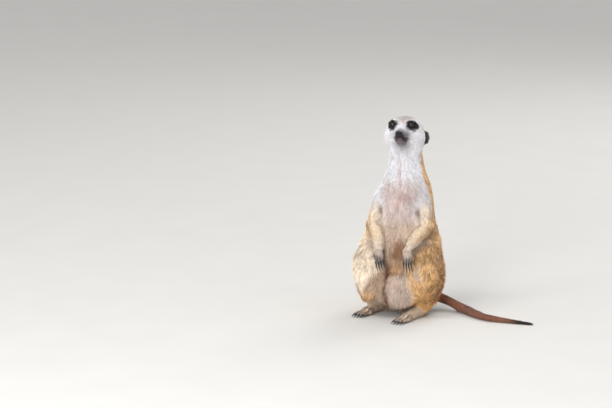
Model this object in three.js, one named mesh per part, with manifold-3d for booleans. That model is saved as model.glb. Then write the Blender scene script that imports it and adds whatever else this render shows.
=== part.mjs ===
// A life-size meerkat sitting upright on its rump, hands hanging before its belly and tail laid on
// the ground at its left. Millimetres, +Z up. It faces -Y, so its left side is at +X. The origin is
// on the ground, in the middle of the flat that it sits on.
import * as THREE from 'three';
import { mergeVertices } from 'three/addons/utils/BufferGeometryUtils.js';
import Module from 'manifold-3d';

const wasm = await Module();
wasm.setup();

// ---- Driving dimensions -------------------------------------------------------------------------

const HEIGHT = 246; // ground to the top of the coat on the crown
const HEAD_MIDDLE = new THREE.Vector3(5, -7, HEIGHT - 21.5); // between the ears
const HEAD_TURN = 5; // degrees towards its left
const HEAD_TILT = 12; // degrees, muzzle up
const SEAT = new THREE.Vector3(2, 14, 0); // middle of the flat under the rump, as drawn below
const GAP = 0.3; // clearance of the thin cuts between neighbours
const WELD = 1e-3; // corners closer than this are one
const SLIVER = 0.13; // a cut's crumbs thinner than this are closed up, less than half a gap

// Edge lengths of the surface grids, finest where the form is smallest, and how far the facets may
// then be thinned out from the true surface.
const CELL = { body: 8, head: 2.5, foot: 5.4, hand: 3.8 };
const THINNED = { body: 1.3, head: 0.6, paw: 0.45 };

// Facets round each round form, and the steps along the tail.
const FACETS = { tail: 8, limb: 8, toe: 5, thigh: 12, nose: 8, ear: 8, eye: 9 };
const TAIL_STEPS = 20;
const TOE_STEPS = 2;
const CLAW_STEPS = 3;

const DIGITS = 4; // toes on each hand and foot
const OVERRUN = 0.5; // how far a toe or a claw is drawn past its square cut
const SIDES = [
  { name: 'left', sign: 1 },
  { name: 'right', sign: -1 },
];

const vec = (x, y, z) => new THREE.Vector3(x, y, z);
const radians = THREE.MathUtils.degToRad;
const clamp = THREE.MathUtils.clamp;
const lerp = THREE.MathUtils.lerp;

// ---- Frames: places stated in the head's or a foot's own axes -----------------------------------

const BODY = new THREE.Matrix4();
const HEAD = new THREE.Matrix4()
  .makeTranslation(HEAD_MIDDLE)
  .multiply(new THREE.Matrix4().makeRotationZ(radians(HEAD_TURN)))
  .multiply(new THREE.Matrix4().makeRotationX(radians(-HEAD_TILT)));
const inHead = (x, y, z) => vec(x, y, z).applyMatrix4(HEAD);

// ---- Fields: a function of a point that is negative inside the flesh and coat -------------------

// An ellipsoid of the given half-sizes, square to a frame.
function mass(centre, half, frame = BODY) {
  const inverse = frame.clone().invert();
  const p = vec(0, 0, 0);
  const scaled = vec(0, 0, 0);
  const [a, b, c] = half;
  return (point) => {
    p.copy(point).applyMatrix4(inverse);
    p.set(p.x - centre[0], p.y - centre[1], p.z - centre[2]);
    scaled.set(p.x / a, p.y / b, p.z / c);
    const reach = scaled.length();
    scaled.set(p.x / (a * a), p.y / (b * b), p.z / (c * c));
    return (reach * (reach - 1)) / Math.max(scaled.length(), 1e-6);
  };
}

// A round length of limb between two joints, with its thickness at each.
function limb(start, end, startRadius, endRadius) {
  const along = end.clone().sub(start);
  const p = vec(0, 0, 0);
  return (point) => {
    const t = clamp(p.copy(point).sub(start).dot(along) / along.lengthSq(), 0, 1);
    return p.addScaledVector(along, -t).length() - lerp(startRadius, endRadius, t);
  };
}

// Joins fields with a fillet about this wide.
function blend(width, first, ...others) {
  return (point) =>
    others.reduce((low, field) => {
      const next = field(point);
      const share = clamp(0.5 + (0.5 * (next - low)) / width, 0, 1);
      return lerp(next, low, share) - width * share * (1 - share);
    }, first(point));
}

// Presses a hollow of the second field's shape into the first.
const pressed = (width, field, hollow) => {
  const turnedOut = blend(width, (point) => -field(point), hollow);
  return (point) => -turnedOut(point);
};

// ---- Surfaces of fields -------------------------------------------------------------------------

const gradient = (field, point, step = 0.05) => {
  const slope = ['x', 'y', 'z'].map((axis) => {
    const ahead = point.clone();
    const behind = point.clone();
    ahead[axis] += step;
    behind[axis] -= step;
    return (field(ahead) - field(behind)) / (2 * step);
  });
  return vec(...slope);
};

// The closed surface where a field is zero, inside a box, as one vertex for each grid cell that the
// surface crosses and one quad for each crossed grid edge.
function surfaceOf(field, low, high, cell) {
  const counts = ['x', 'y', 'z'].map((axis) => Math.ceil((high[axis] - low[axis]) / cell) + 1);
  const [nx, ny, nz] = counts;
  const at = (i, j, k) => i + nx * (j + ny * k);
  const place = (i, j, k) => vec(low.x + i * cell, low.y + j * cell, low.z + k * cell);
  const onBoxSide = (i, j, k) =>
    i === 0 || j === 0 || k === 0 || i === nx - 1 || j === ny - 1 || k === nz - 1;
  const values = new Float64Array(nx * ny * nz);
  for (let k = 0; k < nz; k++)
    for (let j = 0; j < ny; j++)
      for (let i = 0; i < nx; i++) {
        const value = field(place(i, j, k));
        values[at(i, j, k)] = onBoxSide(i, j, k) ? Math.max(value, 0.2 * cell) : value;
      }

  const corners = [0, 1, 2, 3, 4, 5, 6, 7].map((n) => [n & 1, (n >> 1) & 1, n >> 2]);
  const edges = corners.flatMap((a, m) =>
    corners.slice(m + 1).flatMap((b) => {
      const apart = Math.abs(a[0] - b[0]) + Math.abs(a[1] - b[1]) + Math.abs(a[2] - b[2]);
      return apart === 1 ? [[a, b]] : [];
    }),
  );
  const positions = [];
  const vertexOf = new Map();
  for (let k = 0; k < nz - 1; k++)
    for (let j = 0; j < ny - 1; j++)
      for (let i = 0; i < nx - 1; i++) {
        const middle = vec(0, 0, 0);
        let crossings = 0;
        for (const [a, b] of edges) {
          const va = values[at(i + a[0], j + a[1], k + a[2])];
          const vb = values[at(i + b[0], j + b[1], k + b[2])];
          if (va < 0 === vb < 0) continue;
          const start = place(i + a[0], j + a[1], k + a[2]);
          middle.add(start.lerp(place(i + b[0], j + b[1], k + b[2]), va / (va - vb)));
          crossings += 1;
        }
        if (!crossings) continue;
        middle.divideScalar(crossings);
        const inner = i > 0 && j > 0 && k > 0 && i < nx - 2 && j < ny - 2 && k < nz - 2;
        for (let round = 0; inner && round < 2; round++) {
          const slope = gradient(field, middle);
          const distance = field(middle) / Math.max(slope.lengthSq(), 0.04);
          middle.addScaledVector(slope, -clamp(distance, -0.5 * cell, 0.5 * cell));
        }
        vertexOf.set(at(i, j, k), positions.length / 3);
        positions.push(middle.x, middle.y, middle.z);
      }

  const faces = [];
  const steps = [
    [1, 0, 0],
    [0, 1, 0],
    [0, 0, 1],
  ];
  for (let k = 0; k < nz - 1; k++)
    for (let j = 0; j < ny - 1; j++)
      for (let i = 0; i < nx - 1; i++)
        steps.forEach((step, axis) => {
          const index = [i, j, k];
          if (index[(axis + 1) % 3] === 0 || index[(axis + 2) % 3] === 0) return;
          const here = values[at(i, j, k)] < 0;
          const there = values[at(i + step[0], j + step[1], k + step[2])] < 0;
          if (here === there) return;
          const u = steps[(axis + 1) % 3];
          const v = steps[(axis + 2) % 3];
          const around = [
            [0, 0],
            [1, 0],
            [1, 1],
            [0, 1],
          ].map(([a, b]) =>
            vertexOf.get(at(i - a * u[0] - b * v[0], j - a * u[1] - b * v[1], k - a * u[2] - b * v[2])),
          );
          const [a, b, c, d] = here ? around : around.reverse();
          faces.push(a, b, c, a, c, d);
        });
  return new THREE.BufferGeometry()
    .setAttribute('position', new THREE.Float32BufferAttribute(positions, 3))
    .setIndex(faces);
}

const STEEP = 0.7; // rise of a tube's chord from which its rings are set out from the front

// A closed tube along a curve, with a radius for each share of its length, drawn to a point at both
// ends. It makes the tail, the toes and the claws.
function taper(curve, radiusAt, steps, sides, flatness = 1) {
  const chord = curve.getPoint(1).sub(curve.getPoint(0)).normalize();
  const up = Math.abs(chord.z) > STEEP ? vec(0, -1, 0) : vec(0, 0, 1);
  const positions = [];
  const faces = [];
  for (let step = 0; step <= steps; step++) {
    const t = step / steps;
    const centre = curve.getPoint(t);
    const tangent = curve.getTangent(t);
    const across = vec(0, 0, 0).crossVectors(tangent, up).normalize();
    const over = vec(0, 0, 0).crossVectors(across, tangent).normalize();
    for (let side = 0; side < sides; side++) {
      const angle = (2 * Math.PI * (side + 0.5)) / sides;
      const p = centre
        .clone()
        .addScaledVector(across, Math.cos(angle) * radiusAt(t))
        .addScaledVector(over, Math.sin(angle) * radiusAt(t) * flatness);
      positions.push(p.x, p.y, p.z);
    }
  }
  const ends = [
    curve.getPoint(0).addScaledVector(curve.getTangent(0), -0.6 * radiusAt(0)),
    curve.getPoint(1).addScaledVector(curve.getTangent(1), 0.6 * radiusAt(1)),
  ];
  ends.forEach((p) => positions.push(p.x, p.y, p.z));
  const first = (steps + 1) * sides;
  for (let side = 0; side < sides; side++) {
    const next = (side + 1) % sides;
    faces.push(first, side, next);
    faces.push(first + 1, steps * sides + next, steps * sides + side);
    for (let step = 0; step < steps; step++) {
      const a = step * sides + side;
      const b = step * sides + next;
      faces.push(a, a + sides, b, b, a + sides, b + sides);
    }
  }
  return new THREE.BufferGeometry()
    .setAttribute('position', new THREE.Float32BufferAttribute(positions, 3))
    .setIndex(faces);
}

// ---- Solids: closed meshes that can be cut and joined -------------------------------------------

function solid(geometry) {
  const bare = geometry.clone();
  ['normal', 'uv'].forEach((name) => bare.deleteAttribute(name));
  const merged = mergeVertices(bare, WELD);
  return new wasm.Manifold(
    new wasm.Mesh({
      numProp: 3,
      vertProperties: new Float32Array(merged.attributes.position.array),
      triVerts: new Uint32Array(merged.index.array),
    }),
  );
}

function geometryOf(manifold) {
  const { numProp, vertProperties, triVerts } = manifold.getMesh();
  const positions = [];
  for (let i = 0; i < vertProperties.length; i += numProp)
    positions.push(vertProperties[i], vertProperties[i + 1], vertProperties[i + 2]);
  const geometry = new THREE.BufferGeometry()
    .setAttribute('position', new THREE.Float32BufferAttribute(positions, 3))
    .setIndex(Array.from(triVerts));
  geometry.computeVertexNormals();
  return geometry;
}

// A solid with every vertex moved outwards.
function grown(manifold, distance) {
  const geometry = geometryOf(manifold);
  const { position, normal } = geometry.attributes;
  for (let i = 0; i < position.count; i++) {
    const p = vec(0, 0, 0).fromBufferAttribute(position, i);
    p.addScaledVector(vec(0, 0, 0).fromBufferAttribute(normal, i), distance);
    position.setXYZ(i, p.x, p.y, p.z);
  }
  return solid(geometry);
}

// The largest body of a solid, without the crumbs and slivers that a cut can leave.
const mainBody = (manifold) =>
  solid(geometryOf(manifold.simplify(SLIVER)))
    .decompose()
    .reduce((best, next) => (next.volume() > best.volume() ? next : best));

// The side of a plane that its normal points to, half a gap clear of it.
function beyond(manifold, point, normal) {
  const n = normal.clone().normalize();
  return manifold.trimByPlane([n.x, n.y, n.z], n.dot(point) + GAP / 2);
}

// Both sides of a plane, parted by a gap: first the side that the normal points to.
const parted = (manifold, point, normal) => [
  beyond(manifold, point, normal),
  beyond(manifold, point, normal.clone().negate()),
];

const onGround = (manifold) => manifold.trimByPlane([0, 0, 1], 0);

// A stretched ball in a frame, for the ears, eyes and nose.
function pebble(centre, half, frame, sides) {
  const ball = new THREE.SphereGeometry(1, sides, Math.round(sides * 0.75));
  return solid(ball.scale(...half).translate(...centre).applyMatrix4(frame));
}

// ---- The fields of the body ---------------------------------------------------------------------

const NECK_BASE = vec(5.5, 2, 166);
const NECK_TOP = vec(5.5, -3, 206);

const trunkField = blend(
  13,
  mass([SEAT.x, SEAT.y, 42], [45, 41, 44.5]), // rump
  mass([-1.5, 9, 84], [49.5, 36, 54]), // back and flanks
  mass([-35, 0, 64], [24.5, 30, 24]), // right flank, pushed out over the thigh
  mass([0, -8, 80], [36, 37, 42]), // belly
  mass([3, 1, 128], [37.5, 32.5, 42]), // chest
  mass([4.8, 1, 152], [30.8, 26, 27]), // shoulders
  limb(NECK_BASE, NECK_TOP, 24, 20.5),
);

// Two soft bulges of the lower belly, with the fold between them near the middle line, and what
// hangs below them between the feet.
const bellyFolds = blend(
  2.5,
  mass([-25.5, -34, 41.5], [17.5, 21, 22]),
  mass([10.5, -35, 38], [20.5, 21, 24]),
  mass([1, -32, 30], [20, 18, 18]),
);

const EYE = { x: 10.8, y: -17.2, z: 7.3, radius: 4.9 };

const headField = [
  ...SIDES.map(({ sign }) => [mass([sign * 10, 0, -5], [15.5, 18, 14], HEAD), 5]), // cheeks
  [mass([0, -12.5, 7.5], [15.5, 11.5, 9], HEAD), 5], // brow
  [limb(inHead(0, -15, -2), inHead(0, -34, -4.6), 11.6, 6.1), 6], // muzzle
  [limb(inHead(0, -7, -11), inHead(0, -29.5, -11.8), 9.5, 4.2), 4], // lower jaw
].reduce(
  (field, [next, width]) => blend(width, field, next),
  mass([0, 5, 2.5], [22.3, 23, 18.3], HEAD), // skull
);

const socketed = SIDES.reduce(
  (field, { sign }) =>
    pressed(3, field, mass([sign * 13.8, -24.5, 7], [5.2, 5, 4.6], HEAD)),
  headField,
);

const torsoField = blend(9, blend(8, trunkField, bellyFolds), socketed);

const ARMS = {
  left: {
    shoulder: vec(25, -10, 143),
    elbow: vec(35, -17, 112),
    wrist: vec(22, -54, 89),
    tip: vec(23.6, -60, 66),
  },
  right: {
    shoulder: vec(-19, -12, 144),
    elbow: vec(-28, -19, 113),
    wrist: vec(-15, -52, 88),
    tip: vec(-11, -56, 65),
  },
};
const ARM_RADIUS = { shoulder: 13, elbow: 10.5, wrist: 6.1 };

// The heading is the way the foot points, in degrees from straight ahead towards the animal's left.
const LEGS = {
  left: {
    hip: vec(25, 12, 46),
    knee: vec(41, -34, 56),
    ankle: vec(31, -8, 9.5),
    ball: vec(18.7, -47.5, 6),
    heading: -17,
  },
  right: {
    hip: vec(-25, 12, 46),
    knee: vec(-39, -34, 58),
    ankle: vec(-25, 10, 9.5),
    ball: vec(-36, -24.5, 6),
    heading: -21,
  },
};
const THIGH = { centre: [34.5, -6, 51], half: [20.5, 37, 41] }; // with its coat
const THIGH_SPACE = { centre: [35, -9, 50], half: [27, 45, 45] }; // what parts it from the torso
const LEG_RADIUS = { hip: 24, knee: 13, shank: 10, ankle: 8.5 };

const armField = ({ shoulder, elbow, wrist }) =>
  blend(
    6,
    limb(shoulder, elbow, ARM_RADIUS.shoulder, ARM_RADIUS.elbow),
    limb(elbow, wrist, ARM_RADIUS.elbow, ARM_RADIUS.wrist),
  );

const legField = ({ hip, knee, ankle }, sign) =>
  blend(
    7,
    mass([sign * THIGH.centre[0], THIGH.centre[1], THIGH.centre[2]], THIGH.half),
    limb(hip, knee, LEG_RADIUS.hip, LEG_RADIUS.knee),
    limb(knee, ankle, LEG_RADIUS.shank, LEG_RADIUS.ankle),
  );

const around = (points, margin) => {
  const box = new THREE.Box3().setFromPoints(points).expandByScalar(margin);
  return [box.min, box.max];
};

// ---- Paws ---------------------------------------------------------------------------------------

// The axes of a paw: forwards along it, across it towards the animal's left, and out of its back.
function pawAxes(root, tip, back) {
  const forward = tip.clone().sub(root).normalize();
  const across = vec(0, 0, 0).crossVectors(forward, back).normalize();
  return { forward, across, over: vec(0, 0, 0).crossVectors(across, forward) };
}

const TOE_TAPER = 0.8; // thickness at its end as a share of that at its root
const CLAW_TAPER = 0.22;
const CLAW_FLATNESS = 1.25; // a claw's depth as a share of its width

// A toe: a tapering tube that arches up and comes down at its tip, cut square there.
function digit(root, direction, over, { length, radius, arch }) {
  const middle = root.clone().addScaledVector(direction, length / 2).addScaledVector(over, arch);
  const last = root.clone().addScaledVector(direction, length + OVERRUN);
  const curve = new THREE.QuadraticBezierCurve3(root, middle, last);
  const heading = curve.getTangent(1);
  const end = last.clone().addScaledVector(heading, -OVERRUN);
  const tube = taper(curve, (t) => radius * lerp(1, TOE_TAPER, t), TOE_STEPS, FACETS.toe);
  return { solid: beyond(solid(tube), end, heading.clone().negate()), end, heading };
}

// A claw: a curved horn, deeper than it is wide, cut square at its root.
function claw(root, heading, over, { length, radius, hook }) {
  const first = root.clone().addScaledVector(heading, -OVERRUN);
  const middle = root.clone().addScaledVector(heading, length * 0.55).addScaledVector(over, hook);
  const end = root.clone().addScaledVector(heading, length).addScaledVector(over, -hook);
  const curve = new THREE.QuadraticBezierCurve3(first, middle, end);
  const radiusAt = (t) => radius * lerp(1, CLAW_TAPER, t);
  return beyond(solid(taper(curve, radiusAt, CLAW_STEPS, FACETS.toe, CLAW_FLATNESS)), root, heading);
}

// A palm with its toes, as one solid, and the claws beyond the toes' ends.
function paw({ palm, cell, low, high, knuckle, axes, spread, width, toe, nail }) {
  let flesh = solid(surfaceOf(palm, low, high, cell)).simplify(THINNED.paw);
  const claws = [];
  for (let n = 0; n < DIGITS; n++) {
    const side = (n - (DIGITS - 1) / 2) / ((DIGITS - 1) / 2); // -1 to 1 across the paw
    const inner = 1 - Math.abs(side); // 0 on the outer toes
    const angle = radians(spread) * side;
    const direction = axes.forward
      .clone()
      .multiplyScalar(Math.cos(angle))
      .addScaledVector(axes.across, Math.sin(angle));
    const root = knuckle
      .clone()
      .addScaledVector(axes.across, (side * width) / 2)
      .addScaledVector(axes.forward, toe.lead * inner);
    const made = digit(root, direction, axes.over, toe);
    flesh = flesh.add(made.solid);
    claws.push(claw(made.end, made.heading, axes.over, nail));
  }
  return { flesh, claws };
}

// ---- Materials ----------------------------------------------------------------------------------

const finish = (color, roughness) => new THREE.MeshStandardMaterial({ color, roughness, metalness: 0 });
const coat = {
  pale: finish(0xded8d0, 0.9),
  cream: finish(0xdcc4a0, 0.9),
  tan: finish(0xc49a64, 0.9),
  belly: finish(0xcdb49a, 0.9),
  russet: finish(0x976a4c, 0.9),
};
const darkSkin = finish(0x2e2a2c, 0.7);
const horn = finish(0x34353c, 0.4);
const glassyEye = finish(0x120c0a, 0.08);

const meerkat = new THREE.Group();
meerkat.name = 'meerkat';
meerkat.position.copy(SEAT).negate();

function place(name, manifold, material) {
  const mesh = new THREE.Mesh(geometryOf(mainBody(manifold)), material);
  mesh.name = name;
  meerkat.add(mesh);
}

// ---- Feet ---------------------------------------------------------------------------------------

const FOOT = { width: 9.5, spread: 5 };

// A foot in front of its ankle, flat on the ground.
function footOf({ ankle, ball: ballOfFoot, heading: turn }) {
  const heading = vec(Math.sin(radians(turn)), -Math.cos(radians(turn)), 0);
  const axes = pawAxes(ballOfFoot, ballOfFoot.clone().add(heading), vec(0, 0, 1));
  const besideBall = (share) =>
    ballOfFoot.clone().addScaledVector(axes.across, share * FOOT.width).setZ(4.2);
  const sole = blend(
    4,
    limb(ankle.clone().setZ(9), ballOfFoot.clone().setZ(5.2), 8.5, 5.6),
    limb(besideBall(-0.4), besideBall(0.4), 4.5, 4.5),
  );
  const [low, high] = around([ankle, ballOfFoot], 16);
  const knuckle = ballOfFoot.clone().addScaledVector(heading, 1).setZ(3.4);
  const { flesh, claws } = paw({
    palm: sole, cell: CELL.foot, low, high, knuckle, axes,
    spread: FOOT.spread, width: FOOT.width,
    toe: { length: 15, radius: 2.7, arch: 2.4, lead: 2.5 },
    nail: { length: 7, radius: 1.35, hook: 0.9 },
  });
  return { flesh: onGround(beyond(flesh, ankle, heading)), claws };
}

const feet = Object.fromEntries(SIDES.map(({ name }) => [name, footOf(LEGS[name])]));

// ---- Torso, neck and head -----------------------------------------------------------------------

// The space round a limb's joints that parts it from the torso, this much wider than the flesh.
const SLEEVE = 2.5;
const PAST_WRIST = 10; // how far an arm's space runs on past the wrist
function sleeve(points, radii, growth) {
  const wide = radii.map((radius) => radius + SLEEVE + growth);
  const lengths = points.slice(1).map((end, n) => {
    const line = new THREE.LineCurve3(points[n], end);
    return solid(taper(line, (t) => lerp(wide[n], wide[n + 1], t), 1, FACETS.limb));
  });
  const joints = points.slice(1, -1).map((point, n) => {
    const size = wide[n + 1];
    return pebble(point.toArray(), [size, size, size], BODY, FACETS.limb);
  });
  return [...lengths, ...joints].reduce((all, next) => all.add(next));
}

function armSpace({ shoulder, elbow, wrist }, growth) {
  const pastWrist = wrist.clone().addScaledVector(wrist.clone().sub(elbow).normalize(), PAST_WRIST);
  const { shoulder: top, elbow: middle, wrist: end } = ARM_RADIUS;
  return sleeve([shoulder, elbow, pastWrist], [top, middle, end], growth);
}

function legSpace({ knee, ankle }, sign, growth) {
  const [x, y, z] = THIGH_SPACE.centre;
  const egg = THIGH_SPACE.half.map((size) => size + growth);
  const thigh = pebble([sign * x, y, z], egg, BODY, FACETS.thigh);
  return thigh.add(sleeve([knee, ankle], [LEG_RADIUS.shank, LEG_RADIUS.ankle], growth));
}

const LIMB_FILLET = 8; // where an arm or a leg runs into the trunk
const wholeField = SIDES.reduce(
  (field, { name, sign }) =>
    [armField(ARMS[name]), legField(LEGS[name], sign)].reduce(
      (joined, next) => blend(LIMB_FILLET, joined, next),
      field,
    ),
  torsoField,
);
const bodyLow = vec(-74, -74, -9);
const bodyHigh = vec(74, 70, 232);
const whole = solid(surfaceOf(wholeField, bodyLow, bodyHigh, CELL.body)).simplify(THINNED.body);

const arms = {};
const legs = {};
let torso = whole;
for (const { name, sign } of SIDES) {
  const footSpace = grown(feet[name].flesh, GAP);
  arms[name] = whole.intersect(armSpace(ARMS[name], 0));
  legs[name] = whole.intersect(legSpace(LEGS[name], sign, 0)).subtract(footSpace);
  const limbs = [armSpace(ARMS[name], GAP), legSpace(LEGS[name], sign, GAP), footSpace];
  torso = limbs.reduce((kept, space) => kept.subtract(space), torso);
}
torso = onGround(torso);

const HEAD_CUT = { point: inHead(0, 15, -15), normal: inHead(0, -0.55, 1).sub(inHead(0, 0, 0)) };
const NECK_CUT = { point: vec(0, 0, 170), normal: vec(0, -0.15, 1) };
const WAIST_CUT = { point: vec(0, 0, 102), normal: vec(0, 0, 1) };
const SHANK_CUT = { point: vec(0, 0, 20), normal: vec(0, 0, 1) };

const [upper, abdomen] = parted(torso, WAIST_CUT.point, WAIST_CUT.normal);
const [aboveChest, chest] = parted(upper, NECK_CUT.point, NECK_CUT.normal);
const neck = beyond(aboveChest, HEAD_CUT.point, HEAD_CUT.normal.clone().negate());

const headLow = vec(-32, -58, 185);
const headHigh = vec(42, 34, 258);
let head = solid(surfaceOf(torsoField, headLow, headHigh, CELL.head)).simplify(THINNED.head);
head = beyond(head, HEAD_CUT.point, HEAD_CUT.normal);

const NOSE = { centre: [0, -39.2, -3.9], half: [4.6, 3.2, 3.7] };
const noseBed = NOSE.half.map((size) => size + GAP);
const nose = pebble(NOSE.centre, NOSE.half, HEAD, FACETS.nose);
head = head.subtract(pebble(NOSE.centre, noseBed, HEAD, FACETS.nose));

for (const { name, sign } of SIDES) {
  const centre = [sign * EYE.x, EYE.y, EYE.z];
  const round = (radius) => pebble(centre, [radius, radius, radius], HEAD, FACETS.eye);
  head = head.subtract(round(EYE.radius + GAP));
  place(`eye_${name}`, round(EYE.radius), glassyEye);
}

// The ear is a low cup at the side of the head, open forwards and outwards, with its root in the head.
const EAR = {
  middle: [20.6, 17, -4.5],
  half: [8, 7.4, 9.4],
  cup: [25.6, 12.6, -5],
  cupHalf: [6.6, 7.4, 7.8],
};
const earShape = (sign, growth) => {
  const mirrored = ([x, y, z]) => [sign * x, y, z];
  const larger = (half, by) => half.map((size) => size + by);
  const outer = pebble(mirrored(EAR.middle), larger(EAR.half, growth), HEAD, FACETS.ear);
  return outer.subtract(pebble(mirrored(EAR.cup), larger(EAR.cupHalf, -growth), HEAD, FACETS.ear));
};
for (const { name, sign } of SIDES) {
  head = head.subtract(earShape(sign, GAP));
  place(`ear_${name}`, earShape(sign, 0), darkSkin);
}

place('head', head, coat.pale);
place('nose', nose.subtract(head), darkSkin);
place('neck', neck, coat.pale);
place('chest', chest, coat.belly);
place('abdomen', abdomen, coat.tan);

// ---- Arms ---------------------------------------------------------------------------------------

const HAND = { width: 8, spread: 3.5 };

for (const { name } of SIDES) {
  const { shoulder, elbow, wrist, tip } = ARMS[name];
  const upperLine = shoulder.clone().sub(elbow);
  const lowerLine = elbow.clone().sub(wrist);
  const elbowNormal = upperLine.clone().normalize().add(lowerLine.clone().normalize());
  const [upperArm, rest] = parted(arms[name], elbow, elbowNormal);
  place(`upper_arm_${name}`, upperArm, coat.cream);

  const axes = pawAxes(wrist, tip, vec(0, -1, 0.15));
  const palmMiddle = wrist.clone().addScaledVector(axes.forward, 5);
  const knuckle = wrist.clone().addScaledVector(axes.forward, 7);
  const wristPoint = wrist.clone().addScaledVector(axes.forward, -1);
  const forearm = beyond(rest, wristPoint, axes.forward.clone().negate());
  place(`forearm_${name}`, forearm, coat.cream);

  const palm = blend(
    3,
    limb(wrist, palmMiddle, ARM_RADIUS.wrist - 0.2, 5),
    limb(
      knuckle.clone().addScaledVector(axes.across, -HAND.width / 2),
      knuckle.clone().addScaledVector(axes.across, HAND.width / 2),
      2.9,
      2.9,
    ),
  );
  const [low, high] = around([wrist, knuckle], 12);
  const { flesh, claws } = paw({
    palm, cell: CELL.hand, low, high, knuckle, axes,
    spread: HAND.spread, width: HAND.width,
    toe: { length: 6.5, radius: 2.25, arch: 1.4, lead: 1.6 },
    nail: { length: 13, radius: 1.4, hook: 1.8 },
  });
  const hand = beyond(flesh, wristPoint, axes.forward);
  claws.forEach((made, n) => place(`fore_claw_${name}_${n + 1}`, made, horn));
  place(`hand_${name}`, hand, coat.belly);
}

// ---- Legs ---------------------------------------------------------------------------------------

for (const { name } of SIDES) {
  const [thigh, shank] = parted(onGround(legs[name]), SHANK_CUT.point, SHANK_CUT.normal);
  place(`thigh_${name}`, thigh, coat.tan);
  place(`shank_${name}`, shank, coat.cream);
  feet[name].claws.forEach((made, n) => place(`hind_claw_${name}_${n + 1}`, onGround(made), horn));
  place(`foot_${name}`, feet[name].flesh, coat.belly);
}

// ---- Tail ---------------------------------------------------------------------------------------

const TAIL_RADIUS = { root: 9, third: 6.1, end: 2 };
const tailRadius = (t) =>
  t < 0.3
    ? lerp(TAIL_RADIUS.root, TAIL_RADIUS.third, Math.sin((t / 0.3) * (Math.PI / 2)))
    : lerp(TAIL_RADIUS.third, TAIL_RADIUS.end, ((t - 0.3) / 0.7) ** 1.6);
const lying = (x, y, t) => vec(x, y, tailRadius(t) - 0.5);
const tailCurve = new THREE.CatmullRomCurve3([
  vec(10, 36, 22),
  vec(40, 38, 14),
  lying(72.5, 23, 0.33),
  lying(93, 0.5, 0.5),
  lying(110.5, -13, 0.67),
  lying(135, -18, 0.84),
  lying(167, -21, 1),
]);
const tail = onGround(solid(taper(tailCurve, tailRadius, TAIL_STEPS, FACETS.tail)));
const bodyNearTail = grown(whole, GAP);
const tailCuts = [0.38, 0.68].map((t) => ({
  point: tailCurve.getPoint(t),
  normal: tailCurve.getTangent(t).setZ(0),
}));
const [beyondFirst, tailBase] = parted(tail.subtract(bodyNearTail), tailCuts[0].point, tailCuts[0].normal);
const [tailTip, tailMiddle] = parted(beyondFirst, tailCuts[1].point, tailCuts[1].normal);
place('tail_base', tailBase, coat.russet);
place('tail_middle', tailMiddle, coat.russet);
place('tail_tip', tailTip, darkSkin);

export default meerkat;
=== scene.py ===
"""Looks of a life-size meerkat that sits upright with its hands held before its belly.

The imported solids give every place. One skin is drawn over the flesh solids and sunk by the depth of the coat,
the coat is laid on it in tufts that follow the lie of the hair, and the eyes, the nose leather, the claws and
the whiskers are pieces of their own. Lengths inside the classes are millimetres in the frame of the solids.
"""

from __future__ import annotations

import logging
import math
from dataclasses import dataclass, field
from enum import Enum
from typing import Sequence

import bmesh
import bpy
import numpy as np
from mathutils import Matrix, Vector
from mathutils.bvhtree import BVHTree
from mathutils.kdtree import KDTree

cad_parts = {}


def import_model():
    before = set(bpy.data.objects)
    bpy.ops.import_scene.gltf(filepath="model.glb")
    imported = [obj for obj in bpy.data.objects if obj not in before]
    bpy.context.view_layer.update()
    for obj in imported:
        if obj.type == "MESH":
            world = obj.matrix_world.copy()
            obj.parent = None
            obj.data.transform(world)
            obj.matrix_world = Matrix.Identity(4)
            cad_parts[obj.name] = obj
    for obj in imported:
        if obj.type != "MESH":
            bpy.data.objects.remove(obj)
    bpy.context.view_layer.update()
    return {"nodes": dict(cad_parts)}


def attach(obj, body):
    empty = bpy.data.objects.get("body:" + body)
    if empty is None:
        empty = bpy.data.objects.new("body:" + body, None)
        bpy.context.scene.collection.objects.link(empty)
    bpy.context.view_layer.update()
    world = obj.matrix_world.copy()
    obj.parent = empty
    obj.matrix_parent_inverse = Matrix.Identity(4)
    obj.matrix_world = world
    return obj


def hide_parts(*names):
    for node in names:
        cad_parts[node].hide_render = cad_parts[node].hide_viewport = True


LOG = logging.getLogger("meerkat")
MM = 0.001
SEED = 2003
Array = np.ndarray
Place = tuple[float, float, float]
Colour = tuple[int, int, int]

SIDES = {"left": 1.0, "right": -1.0}
FLESH = (
    ["head", "neck", "chest", "abdomen", "tail_base", "tail_middle", "tail_tip"]
    + [f"{part}_{side}" for side in SIDES for part in
       ("ear", "upper_arm", "forearm", "hand", "thigh", "shank", "foot")]
)


# ---------------------------------------------------------------- small helpers

def smooth(low: float, high: float, value: Array) -> Array:
    """Rises from 0 at low to 1 at high with soft ends."""
    t = np.clip((value - low) / (high - low), 0.0, 1.0)
    return t * t * (3.0 - 2.0 * t)


def bump(centre: float, width: float, value: Array) -> Array:
    """A soft hill of height 1 at centre."""
    return np.exp(-(((value - centre) / width) ** 2))


def unit(vectors: Array) -> Array:
    """The same directions with length 1."""
    return vectors / np.maximum(np.linalg.norm(vectors, axis=-1, keepdims=True), 1e-9)


def hue(red: int, green: int, blue: int) -> Array:
    """A display colour of 0 to 255 as linear light."""
    c = np.array([red, green, blue], float) / 255.0
    return np.where(c <= 0.04045, c / 12.92, ((c + 0.055) / 1.055) ** 2.4)


def toward(colours: Array, colour: Array, mask: Array) -> Array:
    """Colours drawn to another colour where the mask is 1."""
    return colours + (colour - colours) * mask[:, None]


def plain(count: int, colour: Colour) -> Array:
    """The same display colour for each of some places."""
    return np.zeros((count, 3)) + hue(*colour)


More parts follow.
